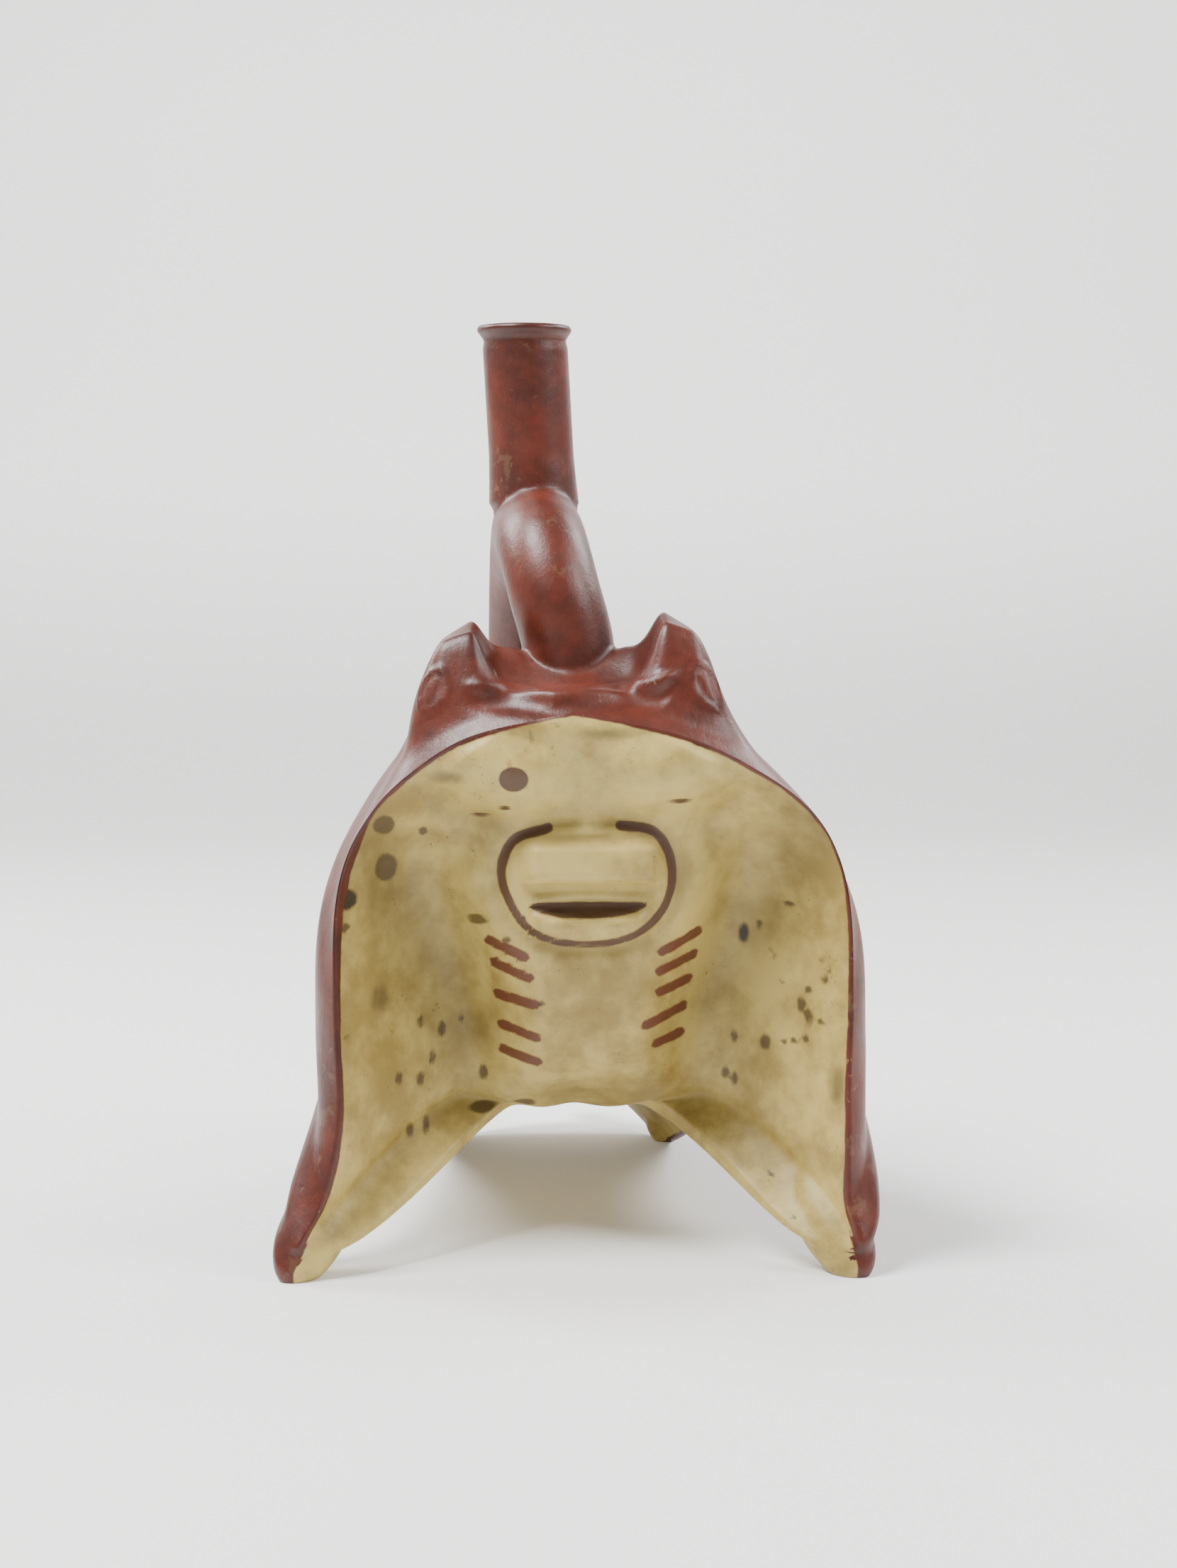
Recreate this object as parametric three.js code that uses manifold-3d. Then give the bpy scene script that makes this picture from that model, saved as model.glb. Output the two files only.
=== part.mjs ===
// Stirrup-spout bottle modelled as a ray: one hollow piece of fired clay.
// Millimetres, +Z up. The animal rears its head and shows its pale underside
// to the front (-Y). Its two wing tips and two pelvic fins are the four feet.
import * as THREE from "three";
import { mergeVertices } from "three/addons/utils/BufferGeometryUtils.js";
import Module from "manifold-3d";

// Body
const BODY_WIDTH = 134; // across the leading edges of the wings, at the front feet
const BODY_LENGTH = 165; // from the snout to the tail
const BODY_HEIGHT = 146; // from the floor to the top of the back
const WALL = 5; // clay between the outside and the chamber
const FOOT_WEAR = 1.9; // how much of each foot's tip is worn flat
const FOOT_OVERHANG = 4.6; // how far a foot stands out past the wing that carries it
const SIDEWAYS_LEAN = 5.2; // how far the hand-built breast stands off the middle line
const BREAST_HOLLOW = 18; // how far the wings' undersides are hollowed behind their edges
const ARCH_LIFT = 16; // how far the underside arches up between the belly and the feet

// Head
const EYE_RIDGE_RISE = 17.5; // from the brow to the top of an eye ridge
const EYE_RIDGE_DIFFERENCE = 2.2; // how much higher the right eye ridge is
const EYE_RIDGE_SPACING = 54; // between the tops of the two eye ridges
const EYE_LENGTH = 11;
const EYE_WIDTH = 6;
const EYE_RELIEF = 0.8;
const EYE_RIB = 2.75; // where the eyes lie, by rib and by share of the way to the edge
const EYE_SHARE = 0.71;
const BROW_RELIEF = 5.5;
const JAW_RELIEF = 3;
const CHEEK_RELIEF = 2.6;
const BELLY_RELIEF = 3; // how far the belly's middle swells between the wings
const SHOULDER_LOBE = 4; // the low swellings beside the front arm
const MOUTH_LEVEL = 0.603; // of the body's height
const MOUTH_WIDTH = 29;
const MOUTH_GAP = 3.4;
const MOUTH_DEPTH = 1.8;

// Feet and tail
const FRONT_FOOT_WIDTH = 16.5;
const FRONT_FOOT_DEPTH = 13;
const FRONT_FOOT_LENGTH = 34;
const FRONT_FOOT_SPLAY = 0.5; // radians
const FRONT_FOOT_RAKE = 0.7; // radians
const FRONT_FOOT_SETBACK = 12.5; // from the wing's edge back to the middle of the foot
const FRONT_FOOT_RIB = 10;
const REAR_FOOT_WIDTH = 9.5;
const REAR_FOOT_DEPTH = 11;
const REAR_FOOT_LENGTH = 17;
const REAR_FOOT_SPLAY = 0.26;
const REAR_FOOT_SETBACK = -3.8;
const REAR_FOOT_RIB = 18;
const TAIL_LENGTH = 9; // how far the tail stands out behind the body
const TAIL_THICKNESS = 13;

// Stirrup
const ARM_DIAMETER = 22.6;
const ARM_BORE = 12.4;
const FRONT_ARM_REACH = 27; // from the spout's axis forward to the front arm's
const REAR_ARM_REACH = 42; // from the spout's axis back to the rear arm's
const ARCH_RISE = 30; // from the top of the back to the middle of the arch at its top
const CROWN_OFFSET = -7.5; // how far the arch stands to the left of the middle line
const ARM_ROOT = 13; // how deep the arms are set into the clay of the body
const ARM_SOCKET = 21; // how deep the arms' bores reach below the skin of the body

// Spout
const SPOUT_REACH = 52; // from the middle of the arch at its top to the mouth
const SPOUT_DIAMETER = 21.6;
const SPOUT_BORE = 12.8;
const SPOUT_LEAN = -0.055; // sideways, for each millimetre up
const LIP_DIAMETER = 24;
const LIP_HEIGHT = 4;
const LIP_FLARE = 2; // how much wider than its bore the spout is at the mouth

// Mesh
const WING_STEPS = 12; // from the middle line to the edge of a wing
const ROWS_PER_RIB = 2;
const TIP_ROW = 0.15; // the rib at which the snout and the tail are closed
const TUBE_SIDES = 16;
const CHAMBER_STEPS = 8;
const FIRST_CHAMBER_RIB = 3.6; // the snout before it is solid clay
const CHAMBER_EDGE = 6; // how thin the chamber may grow towards the wings' edges

// The ribs run from the snout, past the wing tips, to the tail. Each one gives,
// as shares of the body's half width, length and height, the outline's edge
// (x, y, z), the back's middle line (y, z), how broad the back is before it
// turns down, where the flank swells (x, y, z) and the belly's middle line
// (y, z); then its share of BREAST_HOLLOW and of ARCH_LIFT.
const rib = (edge, back, breadth, flank, belly, hollow, lift) => ({
  edge,
  back,
  breadth,
  flank,
  belly,
  hollow,
  lift,
});
const RIBS = [
  rib([0, -0.37, 0.914], [-0.37, 0.914], 0, [0, -0.37, 0.914], [-0.37, 0.914], 0, 0),
  rib([0.194, -0.37, 0.897], [-0.349, 0.934], 0.09, [0.179, -0.355, 0.921], [-0.379, 0.89], 0, 0),
  rib([0.403, -0.364, 0.87], [-0.324, 0.945], 0.224, [0.403, -0.321, 0.925], [-0.376, 0.856], 0.05, 0),
  rib([0.582, -0.358, 0.825], [-0.285, 0.945], 0.373, [0.567, -0.291, 0.911], [-0.364, 0.815], 0.15, 0),
  rib([0.754, -0.348, 0.764], [-0.23, 0.973], 0.433, [0.642, -0.267, 0.849], [-0.348, 0.767], 0.35, 0),
  rib([0.866, -0.345, 0.685], [-0.164, 0.993], 0.418, [0.769, -0.242, 0.781], [-0.333, 0.712], 0.65, 0),
  rib([0.915, -0.355, 0.582], [-0.085, 1], 0.358, [0.94, -0.224, 0.733], [-0.327, 0.637], 0.9, 0),
  rib([0.913, -0.37, 0.425], [0, 0.983], 0.388, [1.209, -0.218, 0.664], [-0.309, 0.527], 1, 0.05),
  rib([0.9, -0.388, 0.26], [0.064, 0.945], 0.388, [1.269, -0.23, 0.534], [-0.279, 0.404], 1, 0.15),
  rib([0.933, -0.406, 0.116], [0.121, 0.897], 0.403, [1.194, -0.279, 0.342], [-0.23, 0.295], 0.8, 0.35),
  rib([1.0, -0.424, 0.04], [0.17, 0.849], 0.418, [1.299, -0.352, 0.082], [-0.164, 0.24], 0.55, 0.5),
  rib([0.918, -0.4, 0.035], [0.2, 0.808], 0.448, [1.254, -0.303, 0.11], [-0.115, 0.223], 0.35, 0.5),
  rib([0.821, -0.339, 0.074], [0.23, 0.767], 0.448, [1.164, -0.145, 0.26], [-0.067, 0.209], 0.2, 0.4),
  rib([0.739, -0.242, 0.133], [0.275, 0.712], 0.448, [1.134, -0.03, 0.288], [0.006, 0.195], 0.08, 0.3),
  rib([0.672, -0.103, 0.158], [0.333, 0.637], 0.433, [1.06, 0.073, 0.26], [0.109, 0.185], 0, 0.25),
  rib([0.612, 0.085, 0.137], [0.388, 0.548], 0.403, [0.955, 0.206, 0.233], [0.224, 0.175], 0, 0.22),
  rib([0.558, 0.285, 0.075], [0.448, 0.452], 0.358, [0.821, 0.339, 0.192], [0.345, 0.158], 0, 0.2),
  rib([0.504, 0.455, 0.011], [0.509, 0.342], 0.313, [0.687, 0.442, 0.144], [0.448, 0.14], 0, 0.16),
  rib([0.455, 0.527, -0.01], [0.552, 0.274], 0.269, [0.567, 0.515, 0.103], [0.509, 0.127], 0, 0.1),
  rib([0.343, 0.582, 0.045], [0.582, 0.229], 0.194, [0.388, 0.582, 0.137], [0.558, 0.12], 0, 0.05),
  rib([0.19, 0.612, 0.103], [0.612, 0.192], 0.104, [0.209, 0.612, 0.151], [0.6, 0.123], 0, 0),
  rib([0, 0.63, 0.148], [0.63, 0.148], 0, [0, 0.63, 0.148], [0.63, 0.148], 0, 0),
];

const wasm = await Module();
wasm.setup();

// Closed geometry to solid, without the slivers that merged points leave.
function solid(geometry) {
  const bare = new THREE.BufferGeometry();
  bare.setAttribute("position", geometry.getAttribute("position"));
  if (geometry.index) bare.setIndex(geometry.index);
  const merged = mergeVertices(bare, 1e-4);
  const index = merged.index.array;
  const kept = [];
  for (let i = 0; i < index.length; i += 3) {
    const [a, b, c] = index.slice(i, i + 3);
    if (a !== b && b !== c && c !== a) kept.push(a, b, c);
  }
  return new wasm.Manifold(
    new wasm.Mesh({
      numProp: 3,
      vertProperties: new Float32Array(merged.attributes.position.array),
      triVerts: new Uint32Array(kept),
    }),
  );
}

function geometryOf(manifold) {
  const mesh = manifold.getMesh();
  const geometry = new THREE.BufferGeometry();
  const position = new Float32Array(mesh.vertProperties);
  geometry.setAttribute("position", new THREE.BufferAttribute(position, 3));
  geometry.setIndex(new THREE.BufferAttribute(new Uint32Array(mesh.triVerts), 1));
  return geometry;
}

// Rings of equally many points become a closed skin with a fan at each end.
function loft(rings) {
  const sides = rings[0].length;
  const points = rings.flat();
  const index = [];
  for (let r = 0; r + 1 < rings.length; r++) {
    for (let k = 0; k < sides; k++) {
      const a = r * sides + k;
      const b = r * sides + ((k + 1) % sides);
      index.push(a, b, b + sides, a, b + sides, a + sides);
    }
  }
  const ends = [
    [0, false],
    [rings.length - 1, true],
  ];
  for (const [r, last] of ends) {
    const middle = new THREE.Vector3();
    rings[r].forEach((p) => middle.addScaledVector(p, 1 / sides));
    const centre = points.length;
    points.push(middle);
    for (let k = 0; k < sides; k++) {
      const a = r * sides + k;
      const b = r * sides + ((k + 1) % sides);
      index.push(...(last ? [centre, a, b] : [centre, b, a]));
    }
  }
  const geometry = new THREE.BufferGeometry().setFromPoints(points);
  geometry.setIndex(index);
  return geometry;
}

function smooth(from, to, value) {
  return THREE.MathUtils.smoothstep(value, from, to);
}

function bell(distance, width) {
  return Math.exp(-((distance / width) ** 2));
}

// A smooth line through points: each rib is one unit of its parameter.
function lineThrough(points) {
  const curve = new THREE.CatmullRomCurve3(points, false, "catmullrom", 0.5);
  return (at) => curve.getPoint(at / (points.length - 1));
}

const HALF = BODY_WIDTH / 2;
const CROWN_HEIGHT = BODY_HEIGHT + ARCH_RISE;
const TOTAL_HEIGHT = CROWN_HEIGHT + SPOUT_REACH;
const onBody = (x, y, z) => new THREE.Vector3(x * HALF, y * BODY_LENGTH, z * BODY_HEIGHT);
const edgeLine = lineThrough(RIBS.map((r) => onBody(...r.edge)));
const backLine = lineThrough(RIBS.map((r) => onBody(0, ...r.back)));
const bellyLine = lineThrough(RIBS.map((r) => onBody(0, ...r.belly)));
const flankLine = lineThrough(RIBS.map((r) => onBody(...r.flank)));
const shareLine = lineThrough(RIBS.map((r) => new THREE.Vector3(r.hollow, r.lift, r.breadth)));
const LAST_RIB = RIBS.length - 1;

// The hand-built body leans to one side between its feet and its head.
function lean(y, z) {
  const h = z / BODY_HEIGHT;
  const breast = smooth(-0.07, 0.28, h) * (1 - smooth(0.72, 0.96, h));
  const behind = 1 - 0.8 * smooth(-0.4, 0.1, y / BODY_LENGTH);
  return SIDEWAYS_LEAN * (breast * behind - 0.1 * smooth(0.82, 0.93, h));
}

// The raised face: how far its skin stands forward at (x, z).
function face(x, z) {
  const h = z / BODY_HEIGHT;
  const w = Math.abs(x) / HALF;
  const brow = Math.max(0, 1 - ((w - 0.3) / 0.27) ** 2 - ((h - 0.808) / 0.075) ** 2);
  const jaw = (1 - smooth(0.2, 0.26, w)) * smooth(0.622, 0.648, h) * (1 - smooth(0.69, 0.715, h));
  const lip = (1 - smooth(0.14, 0.28, w)) * bell(h - 0.567, 0.016);
  const cheek = bell(w - 0.41 - 0.94 * (h - 0.616), 0.075) * bell(h - 0.62, 0.1);
  const belly = (1 - smooth(0.1, 0.42, w)) * smooth(0.2, 0.34, h) * (1 - smooth(0.54, 0.62, h));
  const features = JAW_RELIEF * (jaw + 0.5 * lip) + CHEEK_RELIEF * cheek + BELLY_RELIEF * belly;
  return BROW_RELIEF * brow ** 1.4 + features;
}

// How far the back is raised at (x, y) by an eye ridge and a shoulder lobe.
function crown(x, y, side) {
  const v = y / BODY_LENGTH;
  const along = smooth(-0.352, -0.29, v) * (1 - smooth(-0.24, -0.03, v));
  const off = x - EYE_RIDGE_SPACING / 2 - 16 * Math.max(0, v + 0.24);
  const across = off < 0 ? bell(off, 0.1 * HALF) : 1 - smooth(0.04 * HALF, 0.24 * HALF, off);
  const lobe = bell(x - 0.21 * HALF, 0.1 * HALF) * bell(v + 0.2, 0.045);
  const rise = EYE_RIDGE_RISE + (side * EYE_RIDGE_DIFFERENCE) / 2;
  return rise * along * across + SHOULDER_LOBE * lobe;
}

// A point of the plain back: t runs from the middle line (0) to the edge (1).
function backSheet(at, t) {
  const start = backLine(at);
  const broad = start.clone();
  broad.x = shareLine(at).z * HALF;
  return new THREE.CubicBezierCurve3(start, broad, flankLine(at), edgeLine(at)).getPoint(t);
}

// The same point with the eye ridges and shoulder lobes.
function backPoint(at, t, side) {
  const point = backSheet(at, t);
  point.z += crown(point.x, point.y, side) * (1 - smooth(0.75, 0.97, t));
  return point;
}

// A point of the plain underside: t runs from the middle line (0) to the edge (1).
function bellySheet(at, t) {
  const start = bellyLine(at);
  const end = edgeLine(at);
  const share = shareLine(at);
  const crease = 0.62 - 0.12 * smooth(5, 9, at);
  const outer = Math.cos((Math.max(t - crease, 0) / (1 - crease)) * (Math.PI / 2));
  const fall = t < crease ? bell(t - crease, 0.21) : outer;
  const leg = smooth(9.5, 10.5, at) * (1 - smooth(15, 17, at));
  const point = start.clone().lerp(end, t ** 1.7);
  point.x = end.x * (1 - (1 - t) ** (1 - 0.4 * leg));
  point.y += BREAST_HOLLOW * share.x * fall;
  point.z += ARCH_LIFT * share.y * fall;
  return point;
}

// The same point with the features of the face.
function bellyPoint(at, t) {
  const point = bellySheet(at, t);
  point.y -= face(point.x, point.z) * (1 - smooth(0.8, 1, t)) * (1 - smooth(8, 10, at));
  return point;
}

// Both sides of a rib, mirrored about the leaning middle line.
function placed(point, side) {
  return new THREE.Vector3(side * point.x + lean(point.y, point.z), point.y, point.z);
}

// The inner skin: a point of a plain sheet moved in by the clay's thickness.
// The face and the eye ridges are modelled on, so the clay is thicker there.
function insidePoint(sheet, at, t, towards) {
  const step = 0.01;
  const point = sheet(at, t);
  const along = sheet(at + step, t).sub(sheet(at - step, t));
  const across = sheet(at, t + step).sub(sheet(at, Math.max(t - step, 0)));
  const inward = along.cross(across).normalize();
  if (t === 0) inward.setX(0).normalize();
  if (inward.dot(towards.clone().sub(point)) < 0) inward.negate();
  return point.addScaledVector(inward, WALL);
}

// The outline of a rib, once round: over the back and along the belly.
function outerRing(at) {
  const ring = [];
  const share = (k) => Math.abs(k) / WING_STEPS;
  for (let k = -WING_STEPS; k <= WING_STEPS; k++) {
    ring.push(placed(backPoint(at, share(k), Math.sign(k)), Math.sign(k)));
  }
  for (let k = WING_STEPS - 1; k > -WING_STEPS; k--) {
    ring.push(placed(bellyPoint(at, share(k)), Math.sign(k)));
  }
  return ring;
}

// The same rib of the chamber, as far out as the wing is thick enough.
function innerRing(at) {
  const pair = (t) => {
    const over = insidePoint(backSheet, at, t, bellySheet(at, t));
    const under = insidePoint(bellySheet, at, t, backSheet(at, t));
    return [over, under];
  };
  let reach = 0;
  for (let t = 0.04; t < 0.95; t += 0.02) {
    const [over, under] = pair(t);
    const gap = under.clone().sub(over);
    const clay = bellySheet(at, t).sub(backSheet(at, t));
    const middle = over.clone().lerp(under, 0.5);
    if (gap.dot(clay) < 0 || gap.length() < CHAMBER_EDGE) break;
    if (middle.distanceTo(edgeLine(at)) < (2 + 2.2 * smooth(9, 11, at)) * WALL) break;
    reach = t;
  }
  const ring = [];
  for (let k = -CHAMBER_STEPS; k <= CHAMBER_STEPS; k++) {
    ring.push(placed(pair((Math.abs(k) / CHAMBER_STEPS) * reach)[0], Math.sign(k)));
  }
  for (let k = CHAMBER_STEPS; k >= -CHAMBER_STEPS; k--) {
    ring.push(placed(pair((Math.abs(k) / CHAMBER_STEPS) * reach)[1], Math.sign(k)));
  }
  return reach > 0.1 ? ring : null;
}

function makeBody() {
  const rows = [TIP_ROW];
  for (let r = 1; r < LAST_RIB * ROWS_PER_RIB; r++) rows.push(r / ROWS_PER_RIB);
  rows.push(LAST_RIB - TIP_ROW);
  return solid(loft(rows.map(outerRing)));
}

// The chamber follows the skin inside it, and stops where a wing grows thin.
function makeChamber() {
  const rings = [];
  for (let at = FIRST_CHAMBER_RIB; at <= LAST_RIB - 4; at += 1) rings.push(innerRing(at));
  return solid(loft(rings.filter((ring) => ring)));
}

// A round tube along a path. radius is a function of the share of its length.
function tube(path, steps, radius) {
  const frames = path.computeFrenetFrames(steps, false);
  const rings = [];
  for (let i = 0; i <= steps; i++) {
    const u = i / steps;
    const middle = path.getPointAt(u);
    const ring = [];
    for (let k = 0; k < TUBE_SIDES; k++) {
      const angle = (k / TUBE_SIDES) * 2 * Math.PI;
      ring.push(
        middle
          .clone()
          .addScaledVector(frames.normals[i], radius(u) * Math.cos(angle))
          .addScaledVector(frames.binormals[i], radius(u) * Math.sin(angle)),
      );
    }
    rings.push(ring);
  }
  return solid(loft(rings));
}

// Height of the back's middle line at a distance y behind the spout's axis.
function backHeight(y) {
  let at = 0;
  while (at < LAST_RIB && backLine(at).y < y) at += 0.05;
  return backLine(at).z;
}

const FRONT_BASE = backHeight(-FRONT_ARM_REACH);
const REAR_BASE = backHeight(REAR_ARM_REACH + 2);

// The arch rises just behind the head and comes down on the sloping back.
function archPath(sink) {
  const top = CROWN_HEIGHT;
  const rise = top - FRONT_BASE;
  const points = [
    [0, -FRONT_ARM_REACH, FRONT_BASE - sink],
    [0.02, -FRONT_ARM_REACH - 0.6, FRONT_BASE + 0.1 * rise],
    [0.45, -FRONT_ARM_REACH + 0.8, FRONT_BASE + 0.52 * rise],
    [0.8, -0.68 * FRONT_ARM_REACH, FRONT_BASE + 0.87 * rise],
    [0.95, -0.2 * FRONT_ARM_REACH, top],
    [1, 0.24 * REAR_ARM_REACH, top - 0.01 * rise],
    [1.06, 0.66 * REAR_ARM_REACH, top - 0.26 * rise],
    [1.1, 0.95 * REAR_ARM_REACH, top - 0.85 * rise],
    [1.1, REAR_ARM_REACH + 1, 0.45 * (top - rise) + 0.55 * REAR_BASE],
    [1.08, REAR_ARM_REACH + 2, REAR_BASE - sink],
  ];
  return new THREE.CatmullRomCurve3(
    points.map(([x, y, z]) => new THREE.Vector3(x * CROWN_OFFSET, y, z)),
    false,
    "centripetal",
  );
}

// A turned tube on the spout's axis from the crown up, leaning as it rises.
function onSpoutAxis(profile) {
  const lathe = new THREE.LatheGeometry(
    profile.map(([r, z]) => new THREE.Vector2(r, z)),
    TUBE_SIDES,
  );
  lathe.rotateX(Math.PI / 2);
  const position = lathe.getAttribute("position");
  for (let i = 0; i < position.count; i++) {
    const z = position.getZ(i);
    position.setX(i, position.getX(i) + CROWN_OFFSET + SPOUT_LEAN * (z - CROWN_HEIGHT));
  }
  return solid(lathe);
}

function makeStirrup() {
  const r = ARM_DIAMETER / 2;
  const s = SPOUT_DIAMETER / 2;
  const lip = LIP_DIAMETER / 2;
  const top = TOTAL_HEIGHT;
  const arch = tube(archPath(ARM_ROOT), 36, (u) => r * (1 + 0.06 * bell(u - 0.05, 0.04)));
  const spout = onSpoutAxis([
    [0, CROWN_HEIGHT],
    [s * 0.7, CROWN_HEIGHT],
    [s * 1.06, CROWN_HEIGHT + 0.65 * r],
    [s * 1.03, CROWN_HEIGHT + 1.1 * r],
    [s, CROWN_HEIGHT + 1.7 * r],
    [s, top - 1.4 * LIP_HEIGHT],
    [s - 0.3, top - LIP_HEIGHT],
    [lip - 0.5, top - 0.55 * LIP_HEIGHT],
    [lip, top - 0.25 * LIP_HEIGHT],
    [lip - 0.5, top],
    [0, top],
  ]);
  return arch.add(spout);
}

function makeBores() {
  const r = ARM_BORE / 2;
  const s = SPOUT_BORE / 2;
  const top = TOTAL_HEIGHT;
  const arch = tube(archPath(ARM_SOCKET), 30, () => r);
  const spout = onSpoutAxis([
    [0, CROWN_HEIGHT - 0.5 * r],
    [s * 0.7, CROWN_HEIGHT - 0.5 * r],
    [s, CROWN_HEIGHT + 0.6 * r],
    [s, top - 1.5 * LIP_HEIGHT],
    [s + LIP_FLARE / 2, top + 1],
    [0, top + 1],
  ]);
  return arch.add(spout);
}

// A raised almond on the outer face of each eye ridge.
function makeEye(side) {
  const middle = placed(backPoint(EYE_RIB, EYE_SHARE, side), side);
  const eye = new THREE.SphereGeometry(1, 14, 8);
  eye.scale(EYE_RELIEF + 1, EYE_WIDTH / 2, EYE_LENGTH / 2);
  eye.rotateX(-0.25);
  eye.rotateY(side * -0.45);
  eye.rotateZ(side * -0.35);
  eye.translate(middle.x - side * 1, middle.y, middle.z);
  return solid(eye);
}

// A rounded tip of a fin, on which the vessel stands.
function makeFoot(rib, width, depth, length, splay, rake, setback, side) {
  const tip = edgeLine(rib);
  const foot = new THREE.SphereGeometry(1, 14, 12);
  foot.scale(width / 2, depth / 2, length / 2);
  foot.rotateX(-rake);
  foot.rotateY(-side * splay);
  foot.computeBoundingBox();
  const half = foot.boundingBox.max;
  const middle = placed(new THREE.Vector3(tip.x, tip.y, 0), side);
  const reach = FOOT_OVERHANG - half.x;
  foot.translate(middle.x + side * reach, middle.y + setback, half.z - FOOT_WEAR);
  return solid(foot);
}

// The tail's root runs down the middle of the back and stands out behind.
function makeTail() {
  const points = [16.4, 17.8, 19.2].map((at) => backLine(at));
  points[0].z -= 0.6 * TAIL_THICKNESS;
  points[1].z -= 0.2 * TAIL_THICKNESS;
  const end = backLine(LAST_RIB);
  points.push(new THREE.Vector3(0, end.y + 0.45 * TAIL_LENGTH, end.z + 2));
  points.push(new THREE.Vector3(0, end.y + TAIL_LENGTH, end.z - 1));
  const path = new THREE.CatmullRomCurve3(points, false, "centripetal");
  const half = TAIL_THICKNESS / 2;
  return tube(path, 12, (u) => half * (0.3 + 0.7 * smooth(0, 0.6, u) - 0.45 * smooth(0.6, 1, u)));
}

// The slit between the lips: flat above and curved below.
function makeMouth() {
  let at = 4;
  while (at < 9 && bellyPoint(at, 0).z > MOUTH_LEVEL * BODY_HEIGHT) at += 0.05;
  const lips = bellyPoint(at, 0);
  const half = MOUTH_WIDTH / 2;
  const outline = new THREE.Shape();
  outline.moveTo(-half, 0);
  outline.quadraticCurveTo(0, 0.35 * MOUTH_GAP, half, 0);
  outline.quadraticCurveTo(0, -1.7 * MOUTH_GAP, -half, 0);
  const slit = new THREE.ExtrudeGeometry(outline, {
    depth: 20,
    bevelEnabled: false,
    curveSegments: 8,
  });
  slit.rotateX(Math.PI / 2);
  slit.translate(lean(lips.y, lips.z), lips.y + MOUTH_DEPTH, lips.z);
  return solid(slit);
}

// The standing plane: what the feet have worn away below it.
function makeFloor() {
  const block = new THREE.BoxGeometry(4 * BODY_WIDTH, 4 * BODY_LENGTH, BODY_HEIGHT);
  block.translate(0, 0, -BODY_HEIGHT / 2);
  return solid(block);
}

const feet = [-1, 1].flatMap((side) => [
  makeFoot(
    FRONT_FOOT_RIB,
    FRONT_FOOT_WIDTH,
    FRONT_FOOT_DEPTH,
    FRONT_FOOT_LENGTH,
    FRONT_FOOT_SPLAY,
    FRONT_FOOT_RAKE,
    FRONT_FOOT_SETBACK,
    side,
  ),
  makeFoot(
    REAR_FOOT_RIB,
    REAR_FOOT_WIDTH,
    REAR_FOOT_DEPTH,
    REAR_FOOT_LENGTH,
    REAR_FOOT_SPLAY,
    0,
    REAR_FOOT_SETBACK,
    side,
  ),
]);
const lumps = [makeEye(-1), makeEye(1), makeTail(), ...feet];
const body = lumps.reduce((whole, lump) => whole.add(lump), makeBody());
const outside = body.subtract(makeMouth()).add(makeStirrup());
const inside = makeChamber().add(makeBores());
const hollowed = outside.subtract(inside).subtract(makeFloor());

const clay = new THREE.MeshStandardMaterial({ color: 0x9c5a3c, roughness: 0.62, metalness: 0 });
const vessel = new THREE.Mesh(geometryOf(hollowed), clay);
vessel.name = "vessel";

// The origin is on the floor below the middle of the vessel's outline.
vessel.geometry.computeBoundingBox();
const box = vessel.geometry.boundingBox;
vessel.position.set(-(box.min.x + box.max.x) / 2, -(box.min.y + box.max.y) / 2, -box.min.z);

const bottle = new THREE.Group();
bottle.add(vessel);
export default bottle;
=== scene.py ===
"""Stirrup spout vessel modelled as a ray: one hollow piece of fired, painted clay.

Lengths are millimetres in the potter's frame, where y = 0 is the spout's axis and
z = 0 the standing plane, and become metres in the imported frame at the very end.
"""

from __future__ import annotations

import logging
import math
from collections.abc import Callable
from dataclasses import dataclass
from enum import Enum

import bmesh
import bpy
import numpy as np
from mathutils import Matrix, Vector
from mathutils.kdtree import KDTree


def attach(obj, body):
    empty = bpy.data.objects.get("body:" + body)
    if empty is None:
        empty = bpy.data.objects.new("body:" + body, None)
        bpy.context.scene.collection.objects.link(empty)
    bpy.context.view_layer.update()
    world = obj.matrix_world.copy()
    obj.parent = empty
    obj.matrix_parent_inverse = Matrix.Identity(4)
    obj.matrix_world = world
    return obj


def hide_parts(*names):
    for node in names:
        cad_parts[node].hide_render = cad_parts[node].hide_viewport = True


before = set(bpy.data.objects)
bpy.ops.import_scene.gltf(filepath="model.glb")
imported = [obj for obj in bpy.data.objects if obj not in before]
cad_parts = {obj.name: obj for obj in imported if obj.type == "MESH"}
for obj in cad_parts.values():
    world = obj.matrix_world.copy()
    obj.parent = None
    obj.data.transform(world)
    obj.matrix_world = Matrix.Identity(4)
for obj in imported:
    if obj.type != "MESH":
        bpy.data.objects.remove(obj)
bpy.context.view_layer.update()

LOG = logging.getLogger("vessel")
MM = 0.001
FRAME_SHIFT = (-1.319, -22.421, 0.0)

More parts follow.
